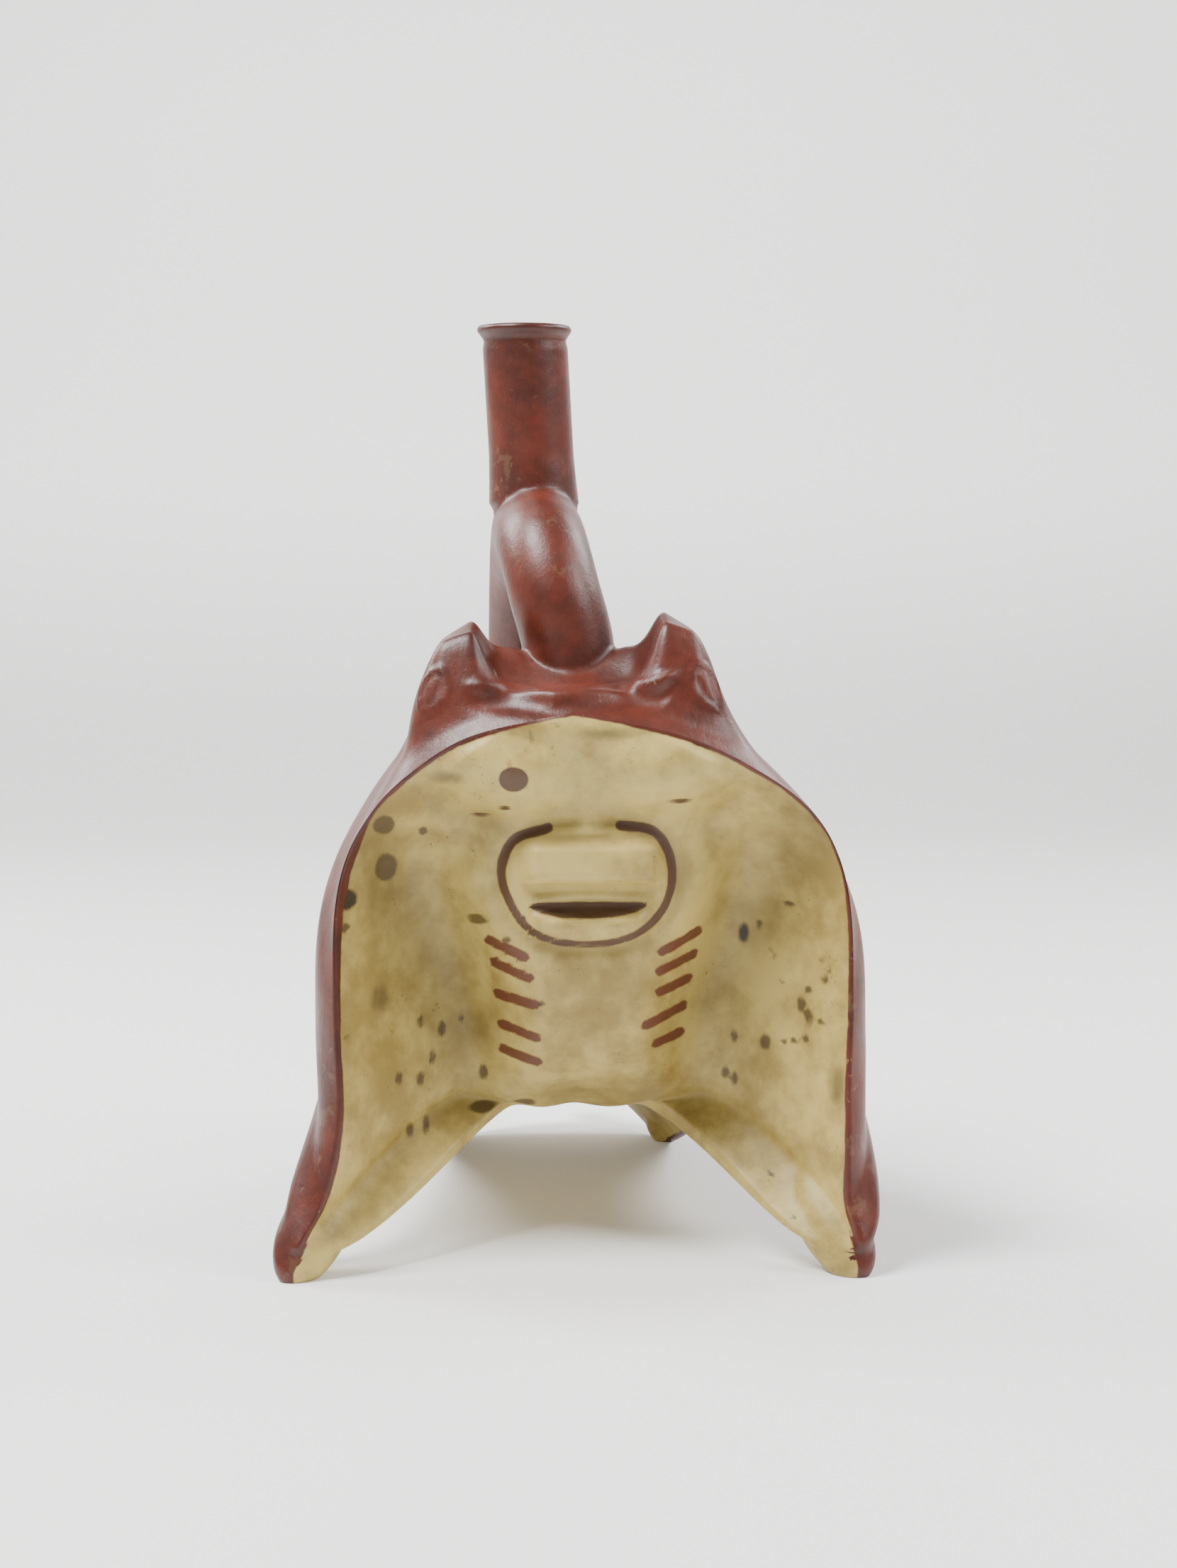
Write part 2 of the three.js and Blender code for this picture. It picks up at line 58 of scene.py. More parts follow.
# Each row is a rib of the body, from the snout past the wing tips to the tail, as
# shares of the half width, the length and the height: the edge (x, y, z), the back's
# middle line (y, z), how broad the back is, the flank's swelling (x, y, z), the
# belly's middle line (y, z), and the shares of the breast's hollow and the arch.
RIBS: tuple[tuple[float, ...], ...] = (
    (0, -0.37, 0.914, -0.37, 0.914, 0, 0, -0.37, 0.914, -0.37, 0.914, 0, 0),
    (0.194, -0.37, 0.897, -0.349, 0.934, 0.09, 0.179, -0.355, 0.921, -0.379, 0.89, 0, 0),
    (0.403, -0.364, 0.87, -0.324, 0.945, 0.224, 0.403, -0.321, 0.925, -0.376, 0.856, 0.05, 0),
    (0.582, -0.358, 0.825, -0.285, 0.945, 0.373, 0.567, -0.291, 0.911, -0.364, 0.815, 0.15, 0),
    (0.754, -0.348, 0.764, -0.23, 0.973, 0.433, 0.642, -0.267, 0.849, -0.348, 0.767, 0.35, 0),
    (0.866, -0.345, 0.685, -0.164, 0.993, 0.418, 0.769, -0.242, 0.781, -0.333, 0.712, 0.65, 0),
    (0.915, -0.355, 0.582, -0.085, 1, 0.358, 0.94, -0.224, 0.733, -0.327, 0.637, 0.9, 0),
    (0.913, -0.37, 0.425, 0, 0.983, 0.388, 1.209, -0.218, 0.664, -0.309, 0.527, 1, 0.05),
    (0.9, -0.388, 0.26, 0.064, 0.945, 0.388, 1.269, -0.23, 0.534, -0.279, 0.404, 1, 0.15),
    (0.933, -0.406, 0.116, 0.121, 0.897, 0.403, 1.194, -0.279, 0.342, -0.23, 0.295, 0.8, 0.35),
    (1.0, -0.424, 0.04, 0.17, 0.849, 0.418, 1.299, -0.352, 0.082, -0.164, 0.24, 0.55, 0.5),
    (0.918, -0.4, 0.035, 0.2, 0.808, 0.448, 1.254, -0.303, 0.11, -0.115, 0.223, 0.35, 0.5),
    (0.821, -0.339, 0.074, 0.23, 0.767, 0.448, 1.164, -0.145, 0.26, -0.067, 0.209, 0.2, 0.4),
    (0.739, -0.242, 0.133, 0.275, 0.712, 0.448, 1.134, -0.03, 0.288, 0.006, 0.195, 0.08, 0.3),
    (0.672, -0.103, 0.158, 0.333, 0.637, 0.433, 1.06, 0.073, 0.26, 0.109, 0.185, 0, 0.25),
    (0.612, 0.085, 0.137, 0.388, 0.548, 0.403, 0.955, 0.206, 0.233, 0.224, 0.175, 0, 0.22),
    (0.558, 0.285, 0.075, 0.448, 0.452, 0.358, 0.821, 0.339, 0.192, 0.345, 0.158, 0, 0.2),
    (0.504, 0.455, 0.011, 0.509, 0.342, 0.313, 0.687, 0.442, 0.144, 0.448, 0.14, 0, 0.16),
    (0.455, 0.527, -0.01, 0.552, 0.274, 0.269, 0.567, 0.515, 0.103, 0.509, 0.127, 0, 0.1),
    (0.343, 0.582, 0.045, 0.582, 0.229, 0.194, 0.388, 0.582, 0.137, 0.558, 0.12, 0, 0.05),
    (0.19, 0.612, 0.103, 0.612, 0.192, 0.104, 0.209, 0.612, 0.151, 0.6, 0.123, 0, 0),
    (0, 0.63, 0.148, 0.63, 0.148, 0, 0, 0.63, 0.148, 0.63, 0.148, 0, 0),
)


def smooth(low: float, high: float, value: np.ndarray) -> np.ndarray:
    """Rise smoothly from 0 to 1 while value goes from low to high."""
    t = np.clip((value - low) / (high - low), 0.0, 1.0)
    return t * t * (3.0 - 2.0 * t)


def bell(distance: np.ndarray, width: float) -> np.ndarray:
    """Fall smoothly from 1 at no distance to nearly 0 at two widths."""
    return np.exp(-((distance / width) ** 2))


def line_through(points: np.ndarray, at: np.ndarray) -> np.ndarray:
    """Follow a smooth line through points.

    Args:
        points: The points, one a row.
        at: Where on the line, with each point one unit after the last.

    Returns:
        The point of the line for each entry of at.
    """
    held = np.vstack([2 * points[0] - points[1], points, 2 * points[-1] - points[-2]])
    at = np.clip(np.asarray(at, float), 0.0, len(points) - 1.0)
    i = np.minimum(np.floor(at).astype(int), len(points) - 2)
    f = (at - i)[..., None]
    before, here, there, after = (held[i + k] for k in range(4))
    leave, arrive = 0.5 * (there - before), 0.5 * (after - here)
    bend = 3 * (there - here) - 2 * leave - arrive
    return here + leave * f + bend * f**2 + (leave + arrive - 2 * (there - here)) * f**3


Sheet = Callable[[float, np.ndarray], np.ndarray]
Stroke = tuple[float, float, float, float]


@dataclass(frozen=True)
class BodyForm:
    """The ray's body as two sheets, a back and a belly, that meet along its edge."""

    width: float = 134.0
    length: float = 165.0
    height: float = 146.0
    wall: float = 5.0
    lean: float = 5.2
    breast_hollow: float = 18.0
    arch_lift: float = 16.0
    ridge_rise: float = 17.5
    ridge_difference: float = 2.2
    ridge_spacing: float = 54.0
    brow: float = 5.5
    jaw: float = 3.0
    cheek: float = 2.6
    belly_swell: float = 3.0
    lobe: float = 5.5
    ridge_blunt: float = 3.2
    chamber_edge: float = 6.0
    first_chamber_rib: float = 3.6

    @property
    def last(self) -> int:
        """The number of the last rib."""
        return len(RIBS) - 1

    def _line(self, columns: tuple[int, int, int], at: np.ndarray) -> np.ndarray:
        """Follow one line of the ribs; a column of -1 stands for x = 0."""
        table = np.array(RIBS, float)
        scale = (self.width / 2, self.length, self.height)
        points = [table[:, c] * s if c >= 0 else 0 * table[:, 0] for c, s in zip(columns, scale)]
        return line_through(np.stack(points, 1), at)

    def edge(self, at: np.ndarray) -> np.ndarray:
        """The body's edge at a rib."""
        return self._line((0, 1, 2), at)

    def ridge(self, at: np.ndarray) -> np.ndarray:
        """The back's middle line at a rib."""
        return self._line((-1, 3, 4), at)

    def leaning(self, y: np.ndarray, z: np.ndarray) -> np.ndarray:
        """How far the hand-built body stands off the middle line."""
        h = z / self.height
        breast = smooth(-0.07, 0.28, h) * (1 - smooth(0.72, 0.96, h))
        behind = 1 - 0.8 * smooth(-0.4, 0.1, y / self.length)
        return self.lean * (breast * behind - 0.1 * smooth(0.82, 0.93, h))

    def face(self, x: np.ndarray, z: np.ndarray) -> np.ndarray:
        """How far brow, jaw and cheeks stand forward of the belly."""
        h = z / self.height
        w = np.abs(x) / (self.width / 2)
        brow = np.maximum(0, 1 - ((w - 0.3) / 0.27) ** 2 - ((h - 0.808) / 0.075) ** 2)
        high = smooth(0.622, 0.648, h) * (1 - smooth(0.69, 0.715, h))
        jaw = (1 - smooth(0.2, 0.26, w)) * high
        lip = (1 - smooth(0.14, 0.28, w)) * bell(h - 0.567, 0.016)
        cheek = bell(w - 0.41 - 0.94 * (h - 0.616), 0.075) * bell(h - 0.62, 0.1)
        swell = (1 - smooth(0.1, 0.42, w)) * smooth(0.2, 0.34, h) * (1 - smooth(0.54, 0.62, h))
        features = self.jaw * (jaw + 0.5 * lip) + self.cheek * cheek + self.belly_swell * swell
        return self.brow * brow**1.4 + features

    def crown(self, x: np.ndarray, y: np.ndarray, side: np.ndarray) -> np.ndarray:
        """How far the eye ridges and the lobes beside the arm rise from the back."""
        half = self.width / 2
        v = y / self.length
        along = smooth(-0.352, -0.29, v) * (1 - smooth(-0.24, -0.03, v))
        off = x - self.ridge_spacing / 2 - 16 * np.maximum(0, v + 0.24)
        outer = 1 - smooth(0.04 * half, 0.24 * half, off)
        across = np.where(off < 0, bell(np.minimum(off + self.ridge_blunt, 0), 0.085 * half), outer)
        lobe = bell(x - 0.21 * half, 0.1 * half) * bell(v + 0.2, 0.045)
        rise = self.ridge_rise + side * self.ridge_difference / 2
        return rise * along * across + self.lobe * lobe

    def back_sheet(self, at: np.ndarray, t: np.ndarray) -> np.ndarray:
        """A point of the plain back, from its middle line (t = 0) to the edge (t = 1)."""
        at, t = np.broadcast_arrays(at, t)
        start = self.ridge(at)
        broad = start.copy()
        broad[..., 0] = line_through(np.array(RIBS)[:, [5]], at)[..., 0] * self.width / 2
        flank, end = self._line((6, 7, 8), at), self.edge(at)
        s = t[..., None]
        near = (1 - s) ** 3 * start + 3 * s * (1 - s) ** 2 * broad
        return near + 3 * s**2 * (1 - s) * flank + s**3 * end

    def back(self, at: np.ndarray, t: np.ndarray, side: np.ndarray) -> np.ndarray:
        """The same point with the eye ridges and shoulder lobes."""
        at, t, side = np.broadcast_arrays(at, t, side)
        point = self.back_sheet(at, t)
        rise = self.crown(point[..., 0], point[..., 1], side)
        point[..., 2] += rise * (1 - smooth(0.75, 0.97, t))
        return point

    def belly_sheet(self, at: np.ndarray, t: np.ndarray) -> np.ndarray:
        """A point of the plain underside, from its middle line (t = 0) to the edge (t = 1)."""
        at, t = np.broadcast_arrays(at, t)
        start, end = self._line((-1, 9, 10), at), self.edge(at)
        share = line_through(np.array(RIBS)[:, [11, 12]], at)
        crease = 0.62 - 0.12 * smooth(5, 9, at)
        outer = np.cos(np.maximum(t - crease, 0) / (1 - crease) * math.pi / 2)
        fall = np.where(t < crease, bell(t - crease, 0.21), outer)
        leg = smooth(9.5, 10.5, at) * (1 - smooth(15, 17, at))
        point = start + (end - start) * (t**1.7)[..., None]
        point[..., 0] = end[..., 0] * (1 - (1 - t) ** (1 - 0.4 * leg))
        point[..., 1] += self.breast_hollow * share[..., 0] * fall
        point[..., 2] += self.arch_lift * share[..., 1] * fall
        return point

    def belly(self, at: np.ndarray, t: np.ndarray) -> np.ndarray:
        """The same point with the features of the face."""
        at, t = np.broadcast_arrays(at, t)
        point = self.belly_sheet(at, t)
        forward = self.face(point[..., 0], point[..., 2])
        point[..., 1] -= forward * (1 - smooth(0.8, 1, t)) * (1 - smooth(8, 10, at))
        return point

    def placed(self, point: np.ndarray, side: np.ndarray) -> np.ndarray:
        """Put a point on its side of the leaning middle line."""
        out = point.copy()
        out[..., 0] = side * point[..., 0] + self.leaning(point[..., 1], point[..., 2])
        return out


@dataclass(frozen=True)
class Grid:
    """How finely the body's skin is divided."""

    head_rows: int = 11
    tail_rows: int = 6
    head_ribs: int = 11
    back_steps: int = 84
    belly_steps: int = 70
    tip_row: float = 0.15


@dataclass
class Skin:
    """The body's outer skin, with what each of its points needs for its paint."""

    form: BodyForm
    grid: Grid

    def __post_init__(self) -> None:
        """Lay out the rings of points along the ribs."""
        g, last = self.grid, self.form.last
        head = np.linspace(0, g.head_ribs, g.head_ribs * g.head_rows + 1)[1:]
        tail = np.linspace(g.head_ribs, last, (last - g.head_ribs) * g.tail_rows + 1)[1:-1]
        rows = np.concatenate([[g.tip_row], head[head > g.tip_row], tail, [last - g.tip_row]])
        rows = rows[rows <= last - g.tip_row]
        over = np.linspace(-1, 1, 2 * g.back_steps + 1)
        under = np.linspace(1, -1, 2 * g.belly_steps + 1)[1:-1]
        at = rows[:, None]
        back = self.form.back(at, np.abs(over)[None], np.sign(over)[None])
        back = self.form.placed(back, np.sign(over)[None])
        belly = self.form.placed(self.form.belly(at, np.abs(under)[None]), np.sign(under)[None])
        belly[..., 1] -= FaceRelief().height(belly[..., 0], belly[..., 2], rows[:, None])
        back = Eyes(self.form).raised(back)
        self.rows = rows
        self.rings = np.concatenate([back, belly], 1)
        self.belly_side = np.concatenate([np.zeros(over.size, bool), np.ones(under.size, bool)])
        self.u = np.concatenate([over, under])

    def mesh(self, name: str) -> bpy.types.Object:
        """Close the rings into one skin with a fan at each end."""
        return lofted(name, self.rings)

    def to_edge(self) -> np.ndarray:
        """Signed distance of each ring point from the edge, positive on the belly."""
        fine = np.linspace(0, self.form.last, 1400)
        out = np.zeros(self.rings.shape[:2])
        for side in (-1.0, 1.0):
            edge = self.form.placed(self.form.edge(fine), np.full(fine.size, side))
            tree = KDTree(len(edge))
            for i, p in enumerate(edge):
                tree.insert(p, i)
            tree.balance()
            for k in np.nonzero((np.sign(self.u) == side) | ((self.u == 0) & (side > 0)))[0]:
                sign = 1.0 if self.belly_side[k] else -1.0
                for r in range(len(self.rows)):
                    out[r, k] = sign * tree.find(self.rings[r, k])[2]
        return out


@dataclass(frozen=True)
class Eyes:
    """Almond eyes with raised rims on the outer faces of the eye ridges."""

    form: BodyForm
    rib: float = 2.75
    share: float = 0.71
    half_length: float = 5.6
    half_width: float = 2.5
    rim_rise: float = 0.9
    ball_rise: float = 0.7
    crest_rise: float = 1.7

    def raised(self, back: np.ndarray) -> np.ndarray:
        """Raise the eyes out of the back's skin.

        Args:
            back: The back's points, by row and by place in the row.

        Returns:
            The same points, moved.
        """
        along = np.gradient(back, axis=0)
        across = np.gradient(back, axis=1)
        out = np.cross(across, along)
        out /= np.maximum(np.linalg.norm(out, axis=-1), 1e-9)[..., None]
        out *= np.where(out[..., 2:3] < 0, -1.0, 1.0)
        for side in (-1.0, 1.0):
            where = (np.array(self.rib), np.array(self.share), np.array(side))
            middle = self.form.placed(self.form.back(*where), np.array(side))
            facing = np.array([side * 0.78, -0.56, 0.3])
            facing /= np.linalg.norm(facing)
            long = np.array([side * 0.25, -0.1, -1.0])
            long -= facing * np.dot(long, facing)
            long /= np.linalg.norm(long)
            wide = np.cross(facing, long)
            off = back - middle
            u, v, far = off @ long, off @ wide, off @ facing
            edge = self.half_width * np.clip(1 - (u / self.half_length) ** 2, 0.02, 1) ** 0.75
            gap = np.abs(v) - edge + np.maximum(np.abs(u) - self.half_length, 0)
            near = (np.abs(far) < 9) & (np.hypot(u, v) < 12)
            rise = self.rim_rise * bell(gap - 0.3, 0.75)
            rise += self.ball_rise * np.clip(-gap / self.half_width, 0, 1) ** 0.5
            rise -= 0.5 * bell(gap + 0.55, 0.4)
            back = back + np.where(near, rise, 0)[..., None] * facing * 0.9
        x, y, z = back[..., 0], back[..., 1], back[..., 2]
        places = (-25.3, -19.5, -4.4, 9.4, 21.4, 24)
        level = np.interp(x, places, (139.0, 139.1, 137.2, 138.1, 140.1, 141.7))
        where = (1 - smooth(20, 27, np.abs(x))) * (1 - smooth(-46, -40, y))
        crest = self.crest_rise * bell(z - level, 1.3) - 0.9 * bell(z - level + 3.4, 2.0)
        return back + (crest * where)[..., None] * np.array([0.0, -0.75, 0.66])


@dataclass(frozen=True)
class FaceRelief:
    """The modelling of the mouth, the nose and the breast that is finer than the form."""

    slit_level: float = 87.8
    slit_middle: float = 3.7
    slit_half: float = 14.6
    slit_drop: float = 3.4
    slit_depth: float = 1.5
    pad_half: float = 16.2
    pad_low: float = 93.4
    pad_high: float = 101.8
    pad_rise: float = 1.5
    groove_depth: float = 0.6
    nose_rise: float = 2.0
    muzzle_rise: float = 1.6
    fold_depth: float = 1.6
    fold_width: float = 10.0
    left_fold: Stroke = (-44.0, 88.0, -30.0, 64.0)
    right_fold: Stroke = (50.0, 92.0, 37.0, 66.0)

    def height(self, x: np.ndarray, z: np.ndarray, at: np.ndarray) -> np.ndarray:
        """How far the skin stands forward of the form at (x, z).

        Args:
            x: Sideways, in the leaning frame.
            z: Upwards.
            at: The rib, so that nothing shows on the body's underside.

        Returns:
            Millimetres towards the front.
        """
        x, z, at = np.broadcast_arrays(x, z, at)
        off = x - self.slit_middle
        share = np.clip(1 - (off / self.slit_half) ** 2, 0, 1)
        top = self.slit_level - 0.6 * (1 - share)
        low = self.slit_level - self.slit_drop * share**0.6
        inside = smooth(-0.5, 0.35, top - z) * smooth(-0.5, 0.5, z - low)
        slit = -self.slit_depth * inside * (share > 0) * share**0.35
        rim = 0.8 * bell(z - top - 0.9, 0.7) * smooth(0, 0.3, share)
        lower = 1.3 * bell(z - low + 1.7, 1.3) * smooth(0, 0.3, share)
        wide = 1 - smooth(self.pad_half - 1.4, self.pad_half + 0.6, np.abs(off))
        tall = smooth(self.pad_low - 0.7, self.pad_low + 0.5, z)
        tall = tall * (1 - smooth(self.pad_high - 1.2, self.pad_high + 1.0, z))
        pad = self.pad_rise * wide * tall
        lines = bell(z - 92.5 - 0.004 * off, 0.32) + bell(z - 91.3 + 0.006 * off, 0.3)
        lines = lines + 0.7 * bell(z - 89.9, 0.3)
        lines = -self.groove_depth * lines * (1 - smooth(14, 17, np.abs(off)))
        nose = self.nose_rise * bell(x - 4.0, 3.2) * smooth(103, 107, z) * (1 - smooth(110, 122, z))
        dents = -1.1 * bell(np.hypot(x + 26.4, z - 97.7), 3.2)
        dents = dents - 0.9 * bell(np.hypot(x + 20.5, z - 90.3), 3.0)
        bumps = 1.0 * bell(np.hypot(x + 30.5, (z - 106) * 0.8), 4.2)
        ridge = 1.0 * bell((x - 28.0) - 0.56 * (z - 90.2), 3.0) * bell(z - 91, 13)
        groove = -0.9 * bell(np.hypot((x + 21.3) * 0.6, z - 108.2), 2.6)
        groove = groove - 0.9 * bell(np.hypot((x - 25.6) * 0.7, z - 111.4), 2.8)
        across, up = np.abs(off) / 20.3, np.abs(z - 92.0) / 14.6
        round_mouth = (across**2.6 + up**2.6) ** (1 / 2.6)
        muzzle = self.muzzle_rise * (1 - smooth(0.86, 1.04, round_mouth))
        muzzle = muzzle - 0.6 * bell(round_mouth - 1.06, 0.05)
        left, right = (segment(x, z, fold) for fold in (self.left_fold, self.right_fold))
        folds = -self.fold_depth * (bell(left, self.fold_width) + bell(right, self.fold_width))
        belly = 1.6 * bell(x - 4.0, 17.0) * smooth(36, 48, z) * (1 - smooth(66, 80, z))
        total = slit + rim + lower + pad + lines + nose + dents + bumps + ridge + groove
        total = total + muzzle + folds + belly
        return total * (1 - smooth(9.5, 10.5, at))


def lofted(name: str, rings: np.ndarray) -> bpy.types.Object:
    """Make a closed mesh of rings of equally many points.

    Args:
        name: The new object's name.
        rings: Points in millimetres, by ring and by place in the ring.

    Returns:
        The object, linked to the scene.
    """
    count, sides = rings.shape[:2]
    middles = rings[[0, -1]].mean(axis=1)
    points = np.vstack([rings.reshape(-1, 3), middles])
    r, k = np.meshgrid(np.arange(count - 1), np.arange(sides), indexing="ij")
    a, b = (r * sides + k).ravel(), (r * sides + (k + 1) % sides).ravel()
    faces = [tuple(f) for f in np.stack([a, b, b + sides, a + sides], 1).tolist()]
    k = np.arange(sides)
    first, last = count * sides, (count - 1) * sides
    faces += [(first, int((j + 1) % sides), int(j)) for j in k]
    faces += [(first + 1, int(last + j), int(last + (j + 1) % sides)) for j in k]
    return solid_object(name, points, faces)


def solid_object(name: str, points: np.ndarray, faces: list[tuple[int, ...]]) -> bpy.types.Object:
    """Make a mesh object in the potter's frame from points and faces."""
    mesh = bpy.data.meshes.new(name)
    mesh.from_pydata([tuple(p) for p in np.asarray(points, float).tolist()], [], faces)
    mesh.validate()
    piece = bpy.data.objects.new(name, mesh)
    bpy.context.scene.collection.objects.link(piece)
    return piece


def points_of(piece: bpy.types.Object) -> np.ndarray:
    """The vertices of an object, one a row."""
    flat = np.zeros(len(piece.data.vertices) * 3)
    piece.data.vertices.foreach_get("co", flat)
    return flat.reshape(-1, 3)


def edges_of(piece: bpy.types.Object) -> np.ndarray:
    """The two vertex numbers of each edge, one edge a row."""
    pairs = np.zeros(len(piece.data.edges) * 2, int)
    piece.data.edges.foreach_get("vertices", pairs)
    return pairs.reshape(-1, 2)


def neighbour_sum(points: np.ndarray, pairs: np.ndarray) -> np.ndarray:
    """For each point, the sum of the points that an edge joins to it."""
    total = np.zeros_like(points)
    np.add.at(total, pairs[:, 0], points[pairs[:, 1]])
    np.add.at(total, pairs[:, 1], points[pairs[:, 0]])
    return total


def discard(piece: bpy.types.Object) -> None:
    """Remove an object and its data."""
    data = piece.data
    bpy.data.objects.remove(piece)
    if isinstance(data, bpy.types.Mesh):
        bpy.data.meshes.remove(data)


def evaluated(piece: bpy.types.Object, name: str) -> bpy.types.Object:
    """Turn an object with its modifiers into a plain mesh object, and discard it."""
    bpy.context.view_layer.update()
    graph = bpy.context.evaluated_depsgraph_get()
    mesh = bpy.data.meshes.new_from_object(piece.evaluated_get(graph))
    discard(piece)
    mesh.name = name
    plain = bpy.data.objects.new(name, mesh)
    bpy.context.scene.collection.objects.link(plain)
    return plain


class Join(Enum):
    """What a tool does to the clay it meets."""

    ADD = "UNION"
    CUT = "DIFFERENCE"


def worked(base: bpy.types.Object, tool: bpy.types.Object, how: Join) -> bpy.types.Object:
    """Join a solid to the clay or cut it away, and discard the solid.

    Args:
        base: The clay.
        tool: The solid.
        how: Whether it is added or cut.

    Returns:
        The clay, as a plain mesh object.
    """
    change = base.modifiers.new("work", "BOOLEAN")
    change.operation = how.value
    change.solver = "MANIFOLD"
    change.object = tool
    name = base.name
    done = evaluated(base, name)
    discard(tool)
    return done


@dataclass(frozen=True)
class TubeTree:
    """Geometry Nodes that sweep a round section along a path."""

    name: str = "SweptTube"

    def build(self) -> bpy.types.NodeTree:
        """Make the tree, with inputs for its radius, swelling, sides and material."""
        tree = bpy.data.node_groups.new(self.name, "GeometryNodeTree")
        face = tree.interface
        face.new_socket("Path", in_out="INPUT", socket_type="NodeSocketGeometry")
        for label, start in (("Radius", 11.3), ("Root Swelling", 0.06), ("Root Share", 0.12)):
            face.new_socket(label, in_out="INPUT", socket_type="NodeSocketFloat").default_value = start
        face.new_socket("Sides", in_out="INPUT", socket_type="NodeSocketInt").default_value = 64
        face.new_socket("Clay", in_out="INPUT", socket_type="NodeSocketMaterial")
        face.new_socket("Tube", in_out="OUTPUT", socket_type="NodeSocketGeometry")
        made = {}
        for key, kind in (
            ("in", "NodeGroupInput"),
            ("out", "NodeGroupOutput"),
            ("along", "GeometryNodeSplineParameter"),
            ("fade", "ShaderNodeMapRange"),
            ("swell", "ShaderNodeMath"),
            ("grow", "ShaderNodeMath"),
            ("size", "ShaderNodeMath"),
            ("set", "GeometryNodeSetCurveRadius"),
            ("ring", "GeometryNodeCurvePrimitiveCircle"),
            ("sweep", "GeometryNodeCurveToMesh"),
            ("real", "GeometryNodeRealizeInstances"),
            ("coat", "GeometryNodeSetMaterial"),
        ):
            made[key] = tree.nodes.new(kind)
        made["fade"].interpolation_type = "SMOOTHSTEP"
        made["fade"].inputs["To Min"].default_value = 1.0
        made["fade"].inputs["To Max"].default_value = 0.0
        made["swell"].operation = "MULTIPLY"
        made["grow"].operation = "ADD"
        made["grow"].inputs[1].default_value = 1.0
        made["size"].operation = "MULTIPLY"
        made["ring"].inputs["Radius"].default_value = 1.0
        made["sweep"].inputs["Fill Caps"].default_value = True
        for source, out, target, into in (
            ("along", "Factor", "fade", "Value"),
            ("in", "Root Share", "fade", "From Max"),
            ("fade", "Result", "swell", 0),
            ("in", "Root Swelling", "swell", 1),
            ("swell", 0, "grow", 0),
            ("grow", 0, "size", 0),
            ("in", "Radius", "size", 1),
            ("in", "Path", "set", "Curve"),
            ("size", 0, "set", "Radius"),
            ("in", "Sides", "ring", "Resolution"),
            ("set", "Curve", "sweep", "Curve"),
            ("ring", "Curve", "sweep", "Profile Curve"),
            ("sweep", "Mesh", "real", 0),
            ("real", 0, "coat", "Geometry"),
            ("in", "Clay", "coat", "Material"),
            ("coat", "Geometry", "out", "Tube"),
        ):
            tree.links.new(made[source].outputs[out], made[target].inputs[into])
        if "Scale" in made["sweep"].inputs:
            radius = tree.nodes.new("GeometryNodeInputRadius")
            tree.links.new(radius.outputs["Radius"], made["sweep"].inputs["Scale"])
        return tree


@dataclass
class TubeMaker:
    """Sweeps tubes with the tree of TubeTree."""

    clay: bpy.types.Material

    def __post_init__(self) -> None:
        """Build the tree once for all tubes."""
        self.tree = TubeTree().build()

    def sweep(
        self, name: str, path: np.ndarray, radius: float, swelling: float, sides: int
    ) -> bpy.types.Object:
        """Sweep one tube.

        Args:
            name: The new object's name.
            path: Points of its middle line, in millimetres.
            radius: Its radius.
            swelling: How much wider its root is, as a share.
            sides: How many sides its section has.

        Returns:
            A closed mesh object with its faces pointing out.
        """
        curve = bpy.data.curves.new(name, "CURVE")
        curve.dimensions = "3D"
        line = curve.splines.new("POLY")
        line.points.add(len(path) - 1)
        line.points.foreach_set("co", np.hstack([path, np.ones((len(path), 1))]).ravel())
        piece = bpy.data.objects.new(name, curve)
        bpy.context.scene.collection.objects.link(piece)
        change = piece.modifiers.new("tube", "NODES")
        change.node_group = self.tree
        values = {"Radius": radius, "Root Swelling": swelling, "Sides": sides, "Clay": self.clay}
        for item in self.tree.interface.items_tree:
            if item.in_out == "INPUT" and item.name in values:
                change[item.identifier] = values[item.name]
        tube = evaluated(piece, name)
        closed(tube)
        return tube


def closed(piece: bpy.types.Object) -> None:
    """Merge doubled points and turn every face of a closed mesh outwards."""
    shell = bmesh.new()
    shell.from_mesh(piece.data)
    bmesh.ops.remove_doubles(shell, verts=shell.verts, dist=1e-4)
    bmesh.ops.recalc_face_normals(shell, faces=shell.faces)
    shell.to_mesh(piece.data)
    shell.free()


